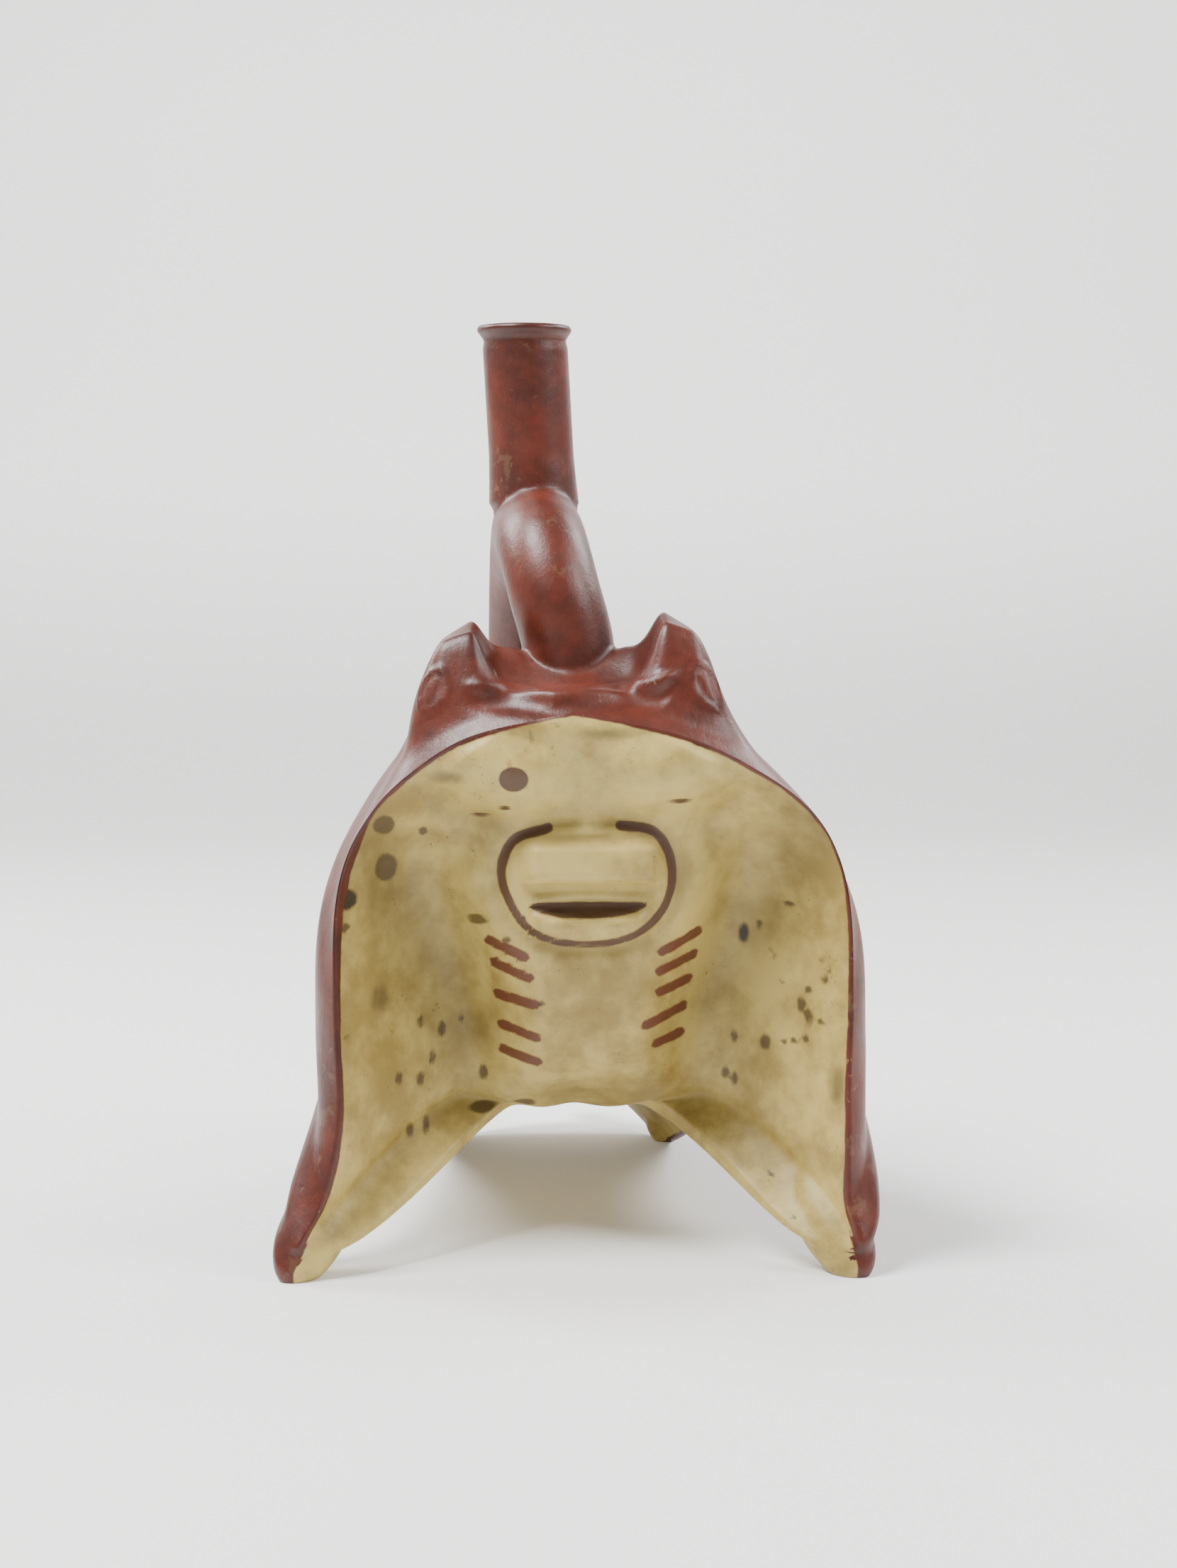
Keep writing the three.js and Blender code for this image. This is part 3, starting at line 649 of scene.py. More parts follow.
@dataclass(frozen=True)
class Stirrup:
    """The handle: an arched tube on the back, and the spout that rises from it."""

    arm_diameter: float = 22.6
    arm_bore: float = 12.4
    front_reach: float = 27.0
    rear_reach: float = 42.0
    crown_height: float = 176.0
    crown_offset: float = -7.5
    root: float = 13.0
    socket: float = 21.0
    total_height: float = 228.0
    spout_diameter: float = 21.6
    spout_bore: float = 12.8
    spout_lean: float = -0.055
    lip_diameter: float = 24.0
    lip_height: float = 4.0
    lip_flare: float = 2.0

    def back_height(self, form: BodyForm, y: float) -> float:
        """Height of the back's middle line at a distance y behind the spout's axis."""
        at = np.arange(0, form.last + 0.05, 0.05)
        line = form.ridge(at)
        return float(line[int(np.argmax(line[:, 1] >= y)), 2])

    def path(self, form: BodyForm, sink: float, steps: int) -> np.ndarray:
        """The arch's middle line, sunk by some millimetres into the body at its ends."""
        front = self.back_height(form, -self.front_reach)
        rear = self.back_height(form, self.rear_reach + 2)
        top = self.crown_height
        rise, near, far = top - front, self.front_reach, self.rear_reach
        rows = (
            (0, -near, front - sink),
            (0.02, -near - 0.6, front + 0.1 * rise),
            (0.45, -near + 0.8, front + 0.52 * rise),
            (0.8, -0.68 * near, front + 0.87 * rise),
            (0.95, -0.2 * near, top),
            (1, 0.24 * far, top - 0.01 * rise),
            (1.06, 0.66 * far, top - 0.26 * rise),
            (1.1, 0.95 * far, top - 0.85 * rise),
            (1.1, far + 1, 0.45 * (top - rise) + 0.55 * rear),
            (1.08, far + 2, rear - sink),
        )
        points = np.array([(x * self.crown_offset, y, z) for x, y, z in rows])
        return centripetal(points, steps)

    def spout(
        self, name: str, profile: tuple[tuple[float, float], ...], sides: int, rows: int
    ) -> bpy.types.Object:
        """Turn a profile about the spout's leaning axis.

        Args:
            name: The new object's name.
            profile: Radius and height of each corner, from the bottom to the top.
            sides: How many sides the turned form has.
            rows: How many rings each millimetre of a long straight is cut into at least.

        Returns:
            A closed mesh object.
        """
        fine: list[tuple[float, float]] = []
        for (r0, z0), (r1, z1) in zip(profile, profile[1:]):
            steps = max(1, int(math.hypot(r1 - r0, z1 - z0) * rows / 2))
            fine += [(r0 + (r1 - r0) * i / steps, z0 + (z1 - z0) * i / steps) for i in range(steps)]
        fine.append(profile[-1])
        angle = np.arange(sides) / sides * 2 * math.pi
        rings = np.array([
            np.stack([r * np.cos(angle), r * np.sin(angle), np.full(sides, z)], 1)
            for r, z in fine
        ])
        rings[..., 0] += self.crown_offset + self.spout_lean * (rings[..., 2] - self.crown_height)
        return lofted(name, rings)

    def outside(self, form: BodyForm, tubes: TubeMaker) -> list[bpy.types.Object]:
        """Make the arch and the spout as solids."""
        r, s, lip = self.arm_diameter / 2, self.spout_diameter / 2, self.lip_diameter / 2
        top, height = self.total_height, self.lip_height
        arch = tubes.sweep("arch", self.path(form, self.root, 190), r, 0.06, 72)
        profile = (
            (s * 0.7, self.crown_height),
            (s * 1.06, self.crown_height + 0.65 * r),
            (s * 1.03, self.crown_height + 1.1 * r),
            (s, self.crown_height + 1.7 * r),
            (s, top - 1.45 * height),
            (s - 0.35, top - 1.05 * height),
            (s - 0.3, top - 0.9 * height),
            (lip - 0.75, top - 0.6 * height),
            (lip - 0.1, top - 0.38 * height),
            (lip - 0.05, top - 0.2 * height),
            (lip - 0.5, top - 0.04 * height),
            (lip - 1.1, top),
        )
        return [arch, self.spout("spout", profile, 96, 2)]

    def bores(self, form: BodyForm, tubes: TubeMaker) -> list[bpy.types.Object]:
        """Make what is hollow inside the arch and the spout."""
        r, s, top = self.arm_bore / 2, self.spout_bore / 2, self.total_height
        arch = tubes.sweep("arch_bore", self.path(form, self.socket, 70), r, 0.0, 24)
        profile = (
            (s * 0.7, self.crown_height - 0.5 * r),
            (s, self.crown_height + 0.6 * r),
            (s, top - 1.5 * self.lip_height),
            (s + 0.5 * self.lip_flare, top + 1),
        )
        return [arch, self.spout("spout_bore", profile, 48, 1)]


def centripetal(points: np.ndarray, steps: int) -> np.ndarray:
    """Points spaced evenly along a centripetal spline through points."""
    held = np.vstack([2 * points[0] - points[1], points, 2 * points[-1] - points[-2]])
    out = []
    for i in range(len(points) - 1):
        p = held[i : i + 4]
        d = [max(float(np.linalg.norm(p[k + 1] - p[k])) ** 0.5, 1e-4) for k in range(3)]
        leave = (p[1] - p[0]) / d[0] - (p[2] - p[0]) / (d[0] + d[1]) + (p[2] - p[1]) / d[1]
        arrive = (p[2] - p[1]) / d[1] - (p[3] - p[1]) / (d[1] + d[2]) + (p[3] - p[2]) / d[2]
        leave, arrive = leave * d[1], arrive * d[1]
        f = np.linspace(0, 1, 60, endpoint=False)[:, None]
        bend = 3 * (p[2] - p[1]) - 2 * leave - arrive
        out.append(p[1] + leave * f + bend * f**2 + (leave + arrive - 2 * (p[2] - p[1])) * f**3)
    line = np.vstack([*out, points[-1:]])
    run = np.concatenate([[0], np.cumsum(np.linalg.norm(np.diff(line, axis=0), axis=1))])
    want = np.linspace(0, run[-1], steps + 1)
    return np.stack([np.interp(want, run, line[:, k]) for k in range(3)], 1)


@dataclass(frozen=True)
class Foot:
    """A rounded tip of a fin, on which the vessel stands."""

    rib: float
    width: float
    depth: float
    length: float
    splay: float
    rake: float
    setback: float
    overhang: float = 4.6
    wear: float = 1.9

    def solid(self, name: str, form: BodyForm, side: float) -> bpy.types.Object:
        """Make the tip as an egg that leans outwards and forwards."""
        tip = form.edge(np.array(self.rib))
        middle = form.placed(np.array([tip[0], tip[1], 0.0]), np.array(side))
        rows, sides = 44, 56
        polar = np.linspace(0.04, math.pi - 0.04, rows)[::-1]
        turn = np.arange(sides) / sides * 2 * math.pi
        rings = np.stack([
            np.outer(np.sin(polar), np.cos(turn)) * self.width / 2,
            np.outer(np.sin(polar), np.sin(turn)) * self.depth / 2,
            np.outer(np.cos(polar), np.ones(sides)) * self.length / 2,
        ], 2)
        lean_back = np.array(Matrix.Rotation(-self.rake, 3, "X"))
        lean_in = np.array(Matrix.Rotation(-side * self.splay, 3, "Y"))
        rings = rings @ (lean_in @ lean_back).T
        across, below = rings[..., 0].max(), rings[..., 2].max()
        rings[..., 0] += middle[0] + side * (self.overhang - across)
        rings[..., 1] += middle[1] + self.setback
        rings[..., 2] += below - self.wear
        return lofted(name, rings)


@dataclass(frozen=True)
class Tail:
    """The tail's root, which runs down the back and stands out behind."""

    length: float = 9.0
    thickness: float = 13.0

    def solid(self, form: BodyForm) -> bpy.types.Object:
        """Make the tail as a tapering rod."""
        line = [form.ridge(np.array(at)) for at in (16.4, 17.8, 19.2)]
        line[0][2] -= 0.6 * self.thickness
        line[1][2] -= 0.2 * self.thickness
        end = form.ridge(np.array(float(form.last)))
        line.append(np.array([0, end[1] + 0.45 * self.length, end[2] + 2]))
        line.append(np.array([0, end[1] + self.length, end[2] - 1]))
        path = centripetal(np.array(line), 60)
        u = np.linspace(0, 1, len(path))
        radius = self.thickness / 2 * (0.3 + 0.7 * smooth(0, 0.6, u) - 0.45 * smooth(0.6, 1, u))
        along = np.gradient(path, axis=0)
        along /= np.linalg.norm(along, axis=1)[:, None]
        across = np.array([1.0, 0, 0])
        up = np.cross(along, across)
        turn = np.arange(32) / 32 * 2 * math.pi
        ring = np.cos(turn)[None, :, None] * across + np.sin(turn)[None, :, None] * up[:, None, :]
        piece = lofted("tail", path[:, None, :] + radius[:, None, None] * ring)
        closed(piece)
        return piece


@dataclass(frozen=True)
class Chamber:
    """The hollow of the body, which follows the plain sheets inside their wall.

    The face and the eye ridges are modelled on, so the clay is thicker there.
    """

    form: BodyForm
    steps: int = 8
    edge_walls: float = 3.2
    leg_walls: float = 3.0

    def _inner(self, at: float, t: np.ndarray) -> tuple[np.ndarray, np.ndarray]:
        """The inner skin over and under at a rib, on the side x > 0."""
        form, step = self.form, 0.01

        def moved(sheet: Sheet, towards: np.ndarray) -> np.ndarray:
            """Move a sheet in by the wall's thickness."""
            here = sheet(at, t)
            along = sheet(at + step, t) - sheet(at - step, t)
            across = sheet(at, t + step) - sheet(at, np.maximum(t - step, 0))
            inward = np.cross(along, across)
            inward[..., 0] = np.where(t == 0, 0, inward[..., 0])
            inward /= np.linalg.norm(inward, axis=-1)[..., None]
            flip = np.sign(np.sum(inward * (towards - here), -1))
            return here + inward * flip[..., None] * form.wall

        over, under = form.back_sheet(at, t), form.belly_sheet(at, t)
        return moved(form.back_sheet, under), moved(form.belly_sheet, over)

    def _ring(self, at: float) -> np.ndarray | None:
        """One ring of the chamber, or nothing where the body is too thin."""
        form = self.form
        t = np.arange(0.04, 0.95, 0.02)
        over, under = self._inner(at, t)
        gap = under - over
        clay = form.belly_sheet(at, t) - form.back_sheet(at, t)
        middle = (over + under) / 2
        reach = 0.0
        clear = (self.edge_walls + self.leg_walls * float(smooth(9, 11, np.array(at)))) * form.wall
        edge = form.edge(np.array(at))
        for i in range(t.size):
            thin = float(np.dot(gap[i], clay[i])) < 0 or np.linalg.norm(gap[i]) < form.chamber_edge
            if thin or np.linalg.norm(middle[i] - edge) < clear:
                break
            reach = float(t[i])
        if reach <= 0.1:
            return None
        k = np.arange(-self.steps, self.steps + 1)
        side = np.sign(k).astype(float)
        over, under = self._inner(at, np.abs(k) / self.steps * reach)
        return np.vstack([form.placed(over, side), form.placed(under, side)[::-1]])

    def solid(self) -> bpy.types.Object:
        """Make the chamber as a solid to cut away."""
        ribs = np.arange(self.form.first_chamber_rib, self.form.last - 3.99, 1.0)
        rings = [self._ring(at) for at in ribs]
        return lofted("chamber", np.array([r for r in rings if r is not None]))


@dataclass(frozen=True)
class Marks:
    """The potter's painted marks on the front, the stains there and the shade painted into its hollows, by
    x and z.
    """

    mouth: tuple[tuple[float, float], ...] = (
        (-5.6, 105.8), (-13.7, 102.7), (-16.7, 95.2), (-14.4, 87.0), (-9.0, 80.6), (1.7, 77.8),
        (14.0, 79.7), (22.4, 86.9), (23.9, 96.9), (19.8, 104.6), (11.5, 106.4),
    )
    bars: tuple[Stroke, ...] = (
        (-19.8, 77.7, -11.2, 74.3), (-18.5, 72.0, -10.0, 69.0), (-17.6, 64.0, -8.6, 62.4),
        (-16.6, 56.3, -8.2, 53.9), (-16.4, 49.8, -8.1, 47.3), (31.1, 79.3, 21.8, 75.5),
        (30.1, 73.3, 21.4, 70.5), (29.0, 67.1, 21.3, 65.1), (27.9, 60.2, 18.0, 56.9),
        (27.2, 53.3, 20.8, 51.7),
    )
    bar_half: float = 1.3
    blots: tuple[Stroke, ...] = (
        (-13.9, 117.9, 7.0, 6.0), (-15.9, 110.7, 3.2, 1.3), (-21.3, 108.5, 5.0, 1.1),
        (25.6, 112.3, 6.0, 1.1),
    )
    stains: tuple[Stroke, ...] = (
        (-44.6, 106.4, 4.6, 4.6), (-35.5, 104.3, 2, 2), (-44.3, 95.5, 4.9, 6.6), (-56.5, 84.6, 1.6, 1.6),
        (-53.9, 82.3, 2.3, 2.3), (-22.4, 82.7, 4.6, 2.5), (-15.6, 78.2, 2, 1.6), (-18.5, 72.5, 2, 1.6),
        (-7.2, 63, 1.6, 1.6), (-31.4, 54.1, 1.6, 3), (-36.5, 56.7, 1.3, 2.3), (-26.7, 56.4, 1.3, 2),
        (-33.7, 47.4, 1.5, 3), (-36.6, 42.6, 1.5, 3), (-41.7, 43.9, 1.6, 2.6), (-21.2, 42.9, 2.3, 3.6),
        (-53.3, 55.9, 1.6, 1.6), (-39.2, 30.5, 1.3, 3.3), (-35.3, 30.6, 1.3, 3.3), (46.4, 80, 1.6, 2),
        (53.2, 85.8, 2.3, 1.3), (60.4, 73.7, 1.5, 1.5), (60.9, 68.9, 1.6, 2.3), (57.4, 65.9, 1.5, 1.5),
        (55.8, 61.9, 2, 3.3), (57.2, 60.1, 2.3, 2), (56.9, 57, 1.6, 1.6), (59.9, 58.3, 1.5, 1.5),
        (51.9, 52.4, 1.3, 1.3), (54.1, 53, 1.3, 1.3), (56.4, 53.7, 1.3, 1.3), (47.8, 51.5, 2.3, 3.6),
        (40.7, 52.2, 1.3, 2.6), (38.6, 42.9, 1.5, 2.6), (40.7, 41.5, 1.5, 3), (48.5, 20.2, 1.6, 3.3),
        (52.8, 12.1, 1.3, 2), (-21.6, 33.5, 6, 2.5), (-11, 34.3, 5, 2.5),
    )
    smears: tuple[Stroke, ...] = (
        (-46, 63.8, 3.9, 5.9), (63.2, 44, 3, 8.2), (8, 128.5, 9, 2.2), (-30, 118, 8, 2.4),
    )
    burns: tuple[Stroke, ...] = (
        (-53.2, 88.7, 4.6, 5.7), (42.8, 77.8, 3, 5.6),
    )

    def grime_and_painted_shade(self, x: np.ndarray, z: np.ndarray) -> np.ndarray:
        """Share of painted shade in the hollows beside the belly, under the brow, round the mouth and
        across the lower belly.
        """
        left = segment(x, z, (-52.0, 101.0, -24.0, 54.0))
        right = segment(x, z, (58.0, 108.0, 32.0, 60.0))
        low = segment(x, z, (-20.0, 36.0, 26.0, 38.0))
        mouth = np.abs(np.hypot((x - 3.6) / 20.0, (z - 92.0) / 14.4) - 1.12) * 16
        brow = segment(x, z, (-30.0, 110.0, -16.0, 106.0))
        sides = (bell(left, 9.0), bell(right, 9.0))
        middle = (0.8 * bell(low, 7.0), 0.7 * bell(mouth, 3.0), 0.6 * bell(brow, 5.0))
        return np.max(sides + middle, axis=0)

    def line(self, x: np.ndarray, z: np.ndarray) -> np.ndarray:
        """Distance from the painted line round the mouth, negative within it."""
        bend = centripetal(np.array([(px, 0.0, pz) for px, pz in self.mouth]), 160)
        run = np.linspace(0, 1, len(bend) - 1)
        half = 0.95 + 0.25 * np.abs(2 * run - 1) ** 0.8
        out = np.full(x.shape, 40.0)
        for k in range(len(bend) - 1):
            a, b = bend[k], bend[k + 1]
            out = np.minimum(out, segment(x, z, (a[0], a[2], b[0], b[2])) - half[k])
        share = np.clip(1 - ((x - 3.7) / 14.2) ** 2, 0, 1)
        slit = np.maximum(z - 87.9, 87.2 - 3.1 * share**0.6 - z)
        slit = np.where(share > 0, slit, np.abs(x - 3.7) - 14.2)
        return np.minimum(np.minimum(out, slit), ovals(x, z, self.blots))


def segment(x: np.ndarray, z: np.ndarray, ends: Stroke) -> np.ndarray:
    """Distance of each point (x, z) from a straight stroke."""
    ax, az, bx, bz = ends
    dx, dz = bx - ax, bz - az
    t = np.clip(((x - ax) * dx + (z - az) * dz) / (dx * dx + dz * dz), 0, 1)
    return np.hypot(x - ax - t * dx, z - az - t * dz)


def ovals(x: np.ndarray, z: np.ndarray, spots: tuple[Stroke, ...]) -> np.ndarray:
    """Distance from the nearest of some oval spots (x, z, width, height), negative inside."""
    out = np.full(x.shape, 40.0)
    for cx, cz, wide, tall in spots:
        share = np.hypot((x - cx) / (wide / 2), (z - cz) / (tall / 2))
        out = np.minimum(out, (share - 1) * min(wide, tall) / 2)
    return out


@dataclass
class Vessel:
    """The whole vessel: body, feet, tail, stirrup and hollow as one piece of clay."""

    form: BodyForm
    stirrup: Stirrup
    grid: Grid
    tubes: TubeMaker
    marks: Marks

    def build(self) -> bpy.types.Object:
        """Model the vessel, hollow it and mark where its paints lie.

        Returns:
            One closed mesh object in the potter's frame, with its paint attributes.
        """
        self.skin = Skin(self.form, self.grid)
        self.rim = self.skin.to_edge()
        clay = self.skin.mesh("vessel")
        front = Foot(
            rib=10.0, width=16.5, depth=13.0, length=34.0, splay=0.5, rake=0.7, setback=12.5
        )
        rear = Foot(
            rib=18.0, width=9.5, depth=11.0, length=17.0, splay=0.26, rake=0.0, setback=-3.8
        )
        added = [
            front.solid("front_left_foot", self.form, -1.0),
            front.solid("front_right_foot", self.form, 1.0),
            rear.solid("rear_left_foot", self.form, -1.0),
            rear.solid("rear_right_foot", self.form, 1.0),
            Tail().solid(self.form),
        ]
        handle = self.stirrup.outside(self.form, self.tubes)
        known = [points_of(clay)] + [points_of(p) for p in added + handle]
        self.tips = np.vstack([points_of(p) for p in added[:2]])
        self.fired = np.vstack([points_of(p) for p in handle])
        self.outer = np.vstack(known)
        for piece in added + handle:
            clay = worked(clay, piece, Join.ADD)
            LOG.info("joined, now %d faces", len(clay.data.polygons))
        self.soften_seams(clay)
        hollow = [Chamber(self.form).solid(), *self.stirrup.bores(self.form, self.tubes)]
        for piece in hollow + [self.table()]:
            clay = worked(clay, piece, Join.CUT)
        self.paint(clay)
        return clay

    def table(self) -> bpy.types.Object:
        """Everything below the standing plane."""
        w, d = 2 * self.form.width, 2 * self.form.length
        corners = [(x, y, z) for z in (-60.0, 0.0) for x, y in ((-w, -d), (w, -d), (w, d), (-w, d))]
        faces = [(3, 2, 1, 0), (4, 5, 6, 7), (0, 1, 5, 4), (1, 2, 6, 5), (2, 3, 7, 6), (3, 0, 4, 7)]
        return solid_object("below", np.array(corners), faces)

    def soften_seams(self, clay: bpy.types.Object, rounds: int = 14) -> None:
        """Smooth the clay over where two forms meet, less under the spout."""
        points = points_of(clay)
        tree = tree_of(self.outer)
        off = np.array([tree.find(p)[2] for p in points])
        seam = points[off > 0.02]
        if not len(seam):
            return
        tree = tree_of(seam)
        found = [tree.find(p) for p in points]
        gap = np.array([f[2] for f in found])
        reach = np.where(np.array([f[0][2] for f in found]) > self.stirrup.crown_height - 4, 1.3, 3.4)
        weight = (1 - smooth(0.25, 1.0, gap / reach))[:, None] * 0.6
        pairs = edges_of(clay)
        count = np.bincount(pairs.ravel(), minlength=len(points))[:, None]
        for _ in range(rounds):
            total = neighbour_sum(points, pairs)
            points = points + (total / np.maximum(count, 1) - points) * weight
        clay.data.vertices.foreach_set("co", points.ravel())
        clay.data.update()
        LOG.info("softened %d seam points", int((weight > 0).sum()))

    def paint(self, clay: bpy.types.Object) -> None:
        """Store, for every point, how far it is from each paint, stain and edge."""
        points = points_of(clay)
        rings = self.skin.rings.reshape(-1, 3)
        rows = np.repeat(self.skin.rows, self.skin.rings.shape[1])
        front = np.tile(self.skin.belly_side, len(self.skin.rows))
        rim = self.rim.ravel()
        tree, fired, outer, tip = (tree_of(p) for p in (rings, self.fired, self.outer, self.tips))
        near = [tree.find(p) for p in points]
        index = np.array([n[1] for n in near])
        gap = np.array([n[2] for n in near])
        to_fired = np.array([fired.find(p)[2] for p in points])
        depth = np.array([outer.find(p)[2] for p in points])
        pale = rim[index] - self.inset(rows[index], points[:, 0])
        pale = np.where((to_fired < 1.0) & (to_fired < gap), -20.0, pale)
        to_tips = np.array([tip.find(p)[2] for p in points])
        pale = np.where((to_tips < gap) & (points[:, 2] < 15), self.tip_paint(points), pale)
        face = front[index] & (rows[index] < 10.6)
        x, z = points[:, 0], points[:, 2]
        fields = {
            "pale": pale,
            "inside": smooth(1.4, 2.6, depth),
            "line": np.where(face, self.marks.line(x, z), 40.0),
            "bars": np.where(face, self.bars(x, z), 40.0),
            "stain": np.where(face, ovals(x, z, self.marks.stains), 40.0),
            "smear": np.where(face, ovals(x, z, self.marks.smears), 40.0),
            "burn": np.where(face, ovals(x, z, self.marks.burns), 40.0),
            # The next field is painted shade for the front's hollows.
            "grime_and_painted_shade": np.where(face, self.marks.grime_and_painted_shade(x, z), 0.0),
            "bulge": bulge_of(clay),
        }
        for name, values in fields.items():
            store = clay.data.attributes.new(name, "FLOAT", "POINT")
            store.data.foreach_set("value", np.asarray(values, np.float32))

    def tip_paint(self, points: np.ndarray) -> np.ndarray:
        """Distance inside the pale paint on a front foot: its front, inside a band of slip."""
        x, y, z = points.T
        left = x - np.interp(z, (2.4, 8.7, 20.8, 40), (-65.7, -62.6, -58.0, -55.2))
        right = np.interp(z, (2.8, 9.2, 17.1, 40), (67.0, 65.6, 65.0, 65.3)) - x
        return np.minimum(np.where(x < 0, left, right), -55.0 + 0.5 * z - y)

    def bars(self, x: np.ndarray, z: np.ndarray) -> np.ndarray:
        """Distance from the painted bars beside the breast, negative within them."""
        return np.min([segment(x, z, bar) for bar in self.marks.bars], axis=0) - self.marks.bar_half

    def inset(self, at: np.ndarray, x: np.ndarray) -> np.ndarray:
        """How far inside the edge the pale paint stops at a rib."""
        stops = (0, 4.4, 5.0, 5.6, 6.2, 6.8, 7.4, 8.6, 9.2, 21)
        left = (0.8, 1.2, 3.2, 3.8, 3.2, 2.2, 1.5, 2.4, 2.0, 1.5)
        right = (0.8, 0.9, 1.0, 1.2, 1.3, 1.3, 1.2, 1.6, 2.2, 1.5)
        return np.where(x < 0, np.interp(at, stops, left), np.interp(at, stops, right))


def tree_of(points: np.ndarray) -> KDTree:
    """A search tree over points."""
    tree = KDTree(len(points))
    for i, p in enumerate(points):
        tree.insert(p, i)
    tree.balance()
    return tree


def bulge_of(piece: bpy.types.Object, rounds: int = 3) -> np.ndarray:
    """How far each point stands out of its neighbours, in millimetres, smoothed."""
    points = points_of(piece)
    pairs = edges_of(piece)
    count = np.maximum(np.bincount(pairs.ravel(), minlength=len(points)), 1)
    normals = np.zeros(len(points) * 3)
    piece.data.vertices.foreach_get("normal", normals)
    normals = normals.reshape(-1, 3)
    level = points
    for _ in range(8):
        level = 0.5 * level + 0.5 * neighbour_sum(level, pairs) / count[:, None]
    bulge = np.sum((points - level) * normals, 1)
    for _ in range(rounds):
        total = np.bincount(pairs[:, 0], bulge[pairs[:, 1]], len(points))
        total += np.bincount(pairs[:, 1], bulge[pairs[:, 0]], len(points))
        bulge = 0.5 * bulge + 0.5 * total / count
    return np.clip(bulge, -3, 3)


Feed = dict[str | int, object]


@dataclass
class Wiring:
    """Places and joins the nodes of one tree."""

    tree: bpy.types.NodeTree

    def put(self, kind: str, feeds: Feed | None = None, **settings: object) -> bpy.types.Node:
        """Add a node.

        Args:
            kind: The node's type name.
            feeds: For an input's name or number, its value or the socket that feeds it.
            settings: The node's own settings.

        Returns:
            The node.
        """
        node = self.tree.nodes.new(kind)
        for key, value in settings.items():
            setattr(node, key, value)
        for key, value in (feeds or {}).items():
            if isinstance(value, bpy.types.NodeSocket):
                self.tree.links.new(value, node.inputs[key])
            else:
                node.inputs[key].default_value = value
        return node

    def sum(self, operation: str, *terms: object) -> bpy.types.NodeSocket:
        """Work out one number from others."""
        return self.put("ShaderNodeMath", dict(enumerate(terms)), operation=operation).outputs[0]

    def ramp(
        self, value: object, low: float, high: float, start: float = 0.0, end: float = 1.0
    ) -> bpy.types.NodeSocket:
        """Go smoothly from start to end while value goes from low to high."""
        feeds = {0: value, 1: low, 2: high, 3: start, 4: end}
        return self.put("ShaderNodeMapRange", feeds, interpolation_type="SMOOTHSTEP").outputs[0]

    def blend(self, mask: object, under: object, over: object) -> bpy.types.NodeSocket:
        """Lay one colour over another by a mask."""
        return self.put("ShaderNodeMix", {0: mask, 6: under, 7: over}, data_type="RGBA").outputs[2]

    def noise(
        self, vector: object, scale: object, detail: float = 3.0, rough: float = 0.55
    ) -> bpy.types.NodeSocket:
        """Read noise with a scale in lumps a metre."""
        feeds = {"Vector": vector, "Scale": scale, "Detail": detail, "Roughness": rough}
        return self.put("ShaderNodeTexNoise", feeds).outputs[0]

    def stored(self, name: str) -> bpy.types.NodeSocket:
        """Read a value stored with the mesh."""
        return self.put("ShaderNodeAttribute", attribute_name=name).outputs["Fac"]


def colour(red: int, green: int, blue: int) -> tuple[float, float, float, float]:
    """Turn a colour as seen, from 0 to 255, into linear light."""
    def light(value: int) -> float:
        """One channel."""
        v = value / 255
        return v / 12.92 if v <= 0.04045 else ((v + 0.055) / 1.055) ** 2.4

    return light(red), light(green), light(blue), 1.0


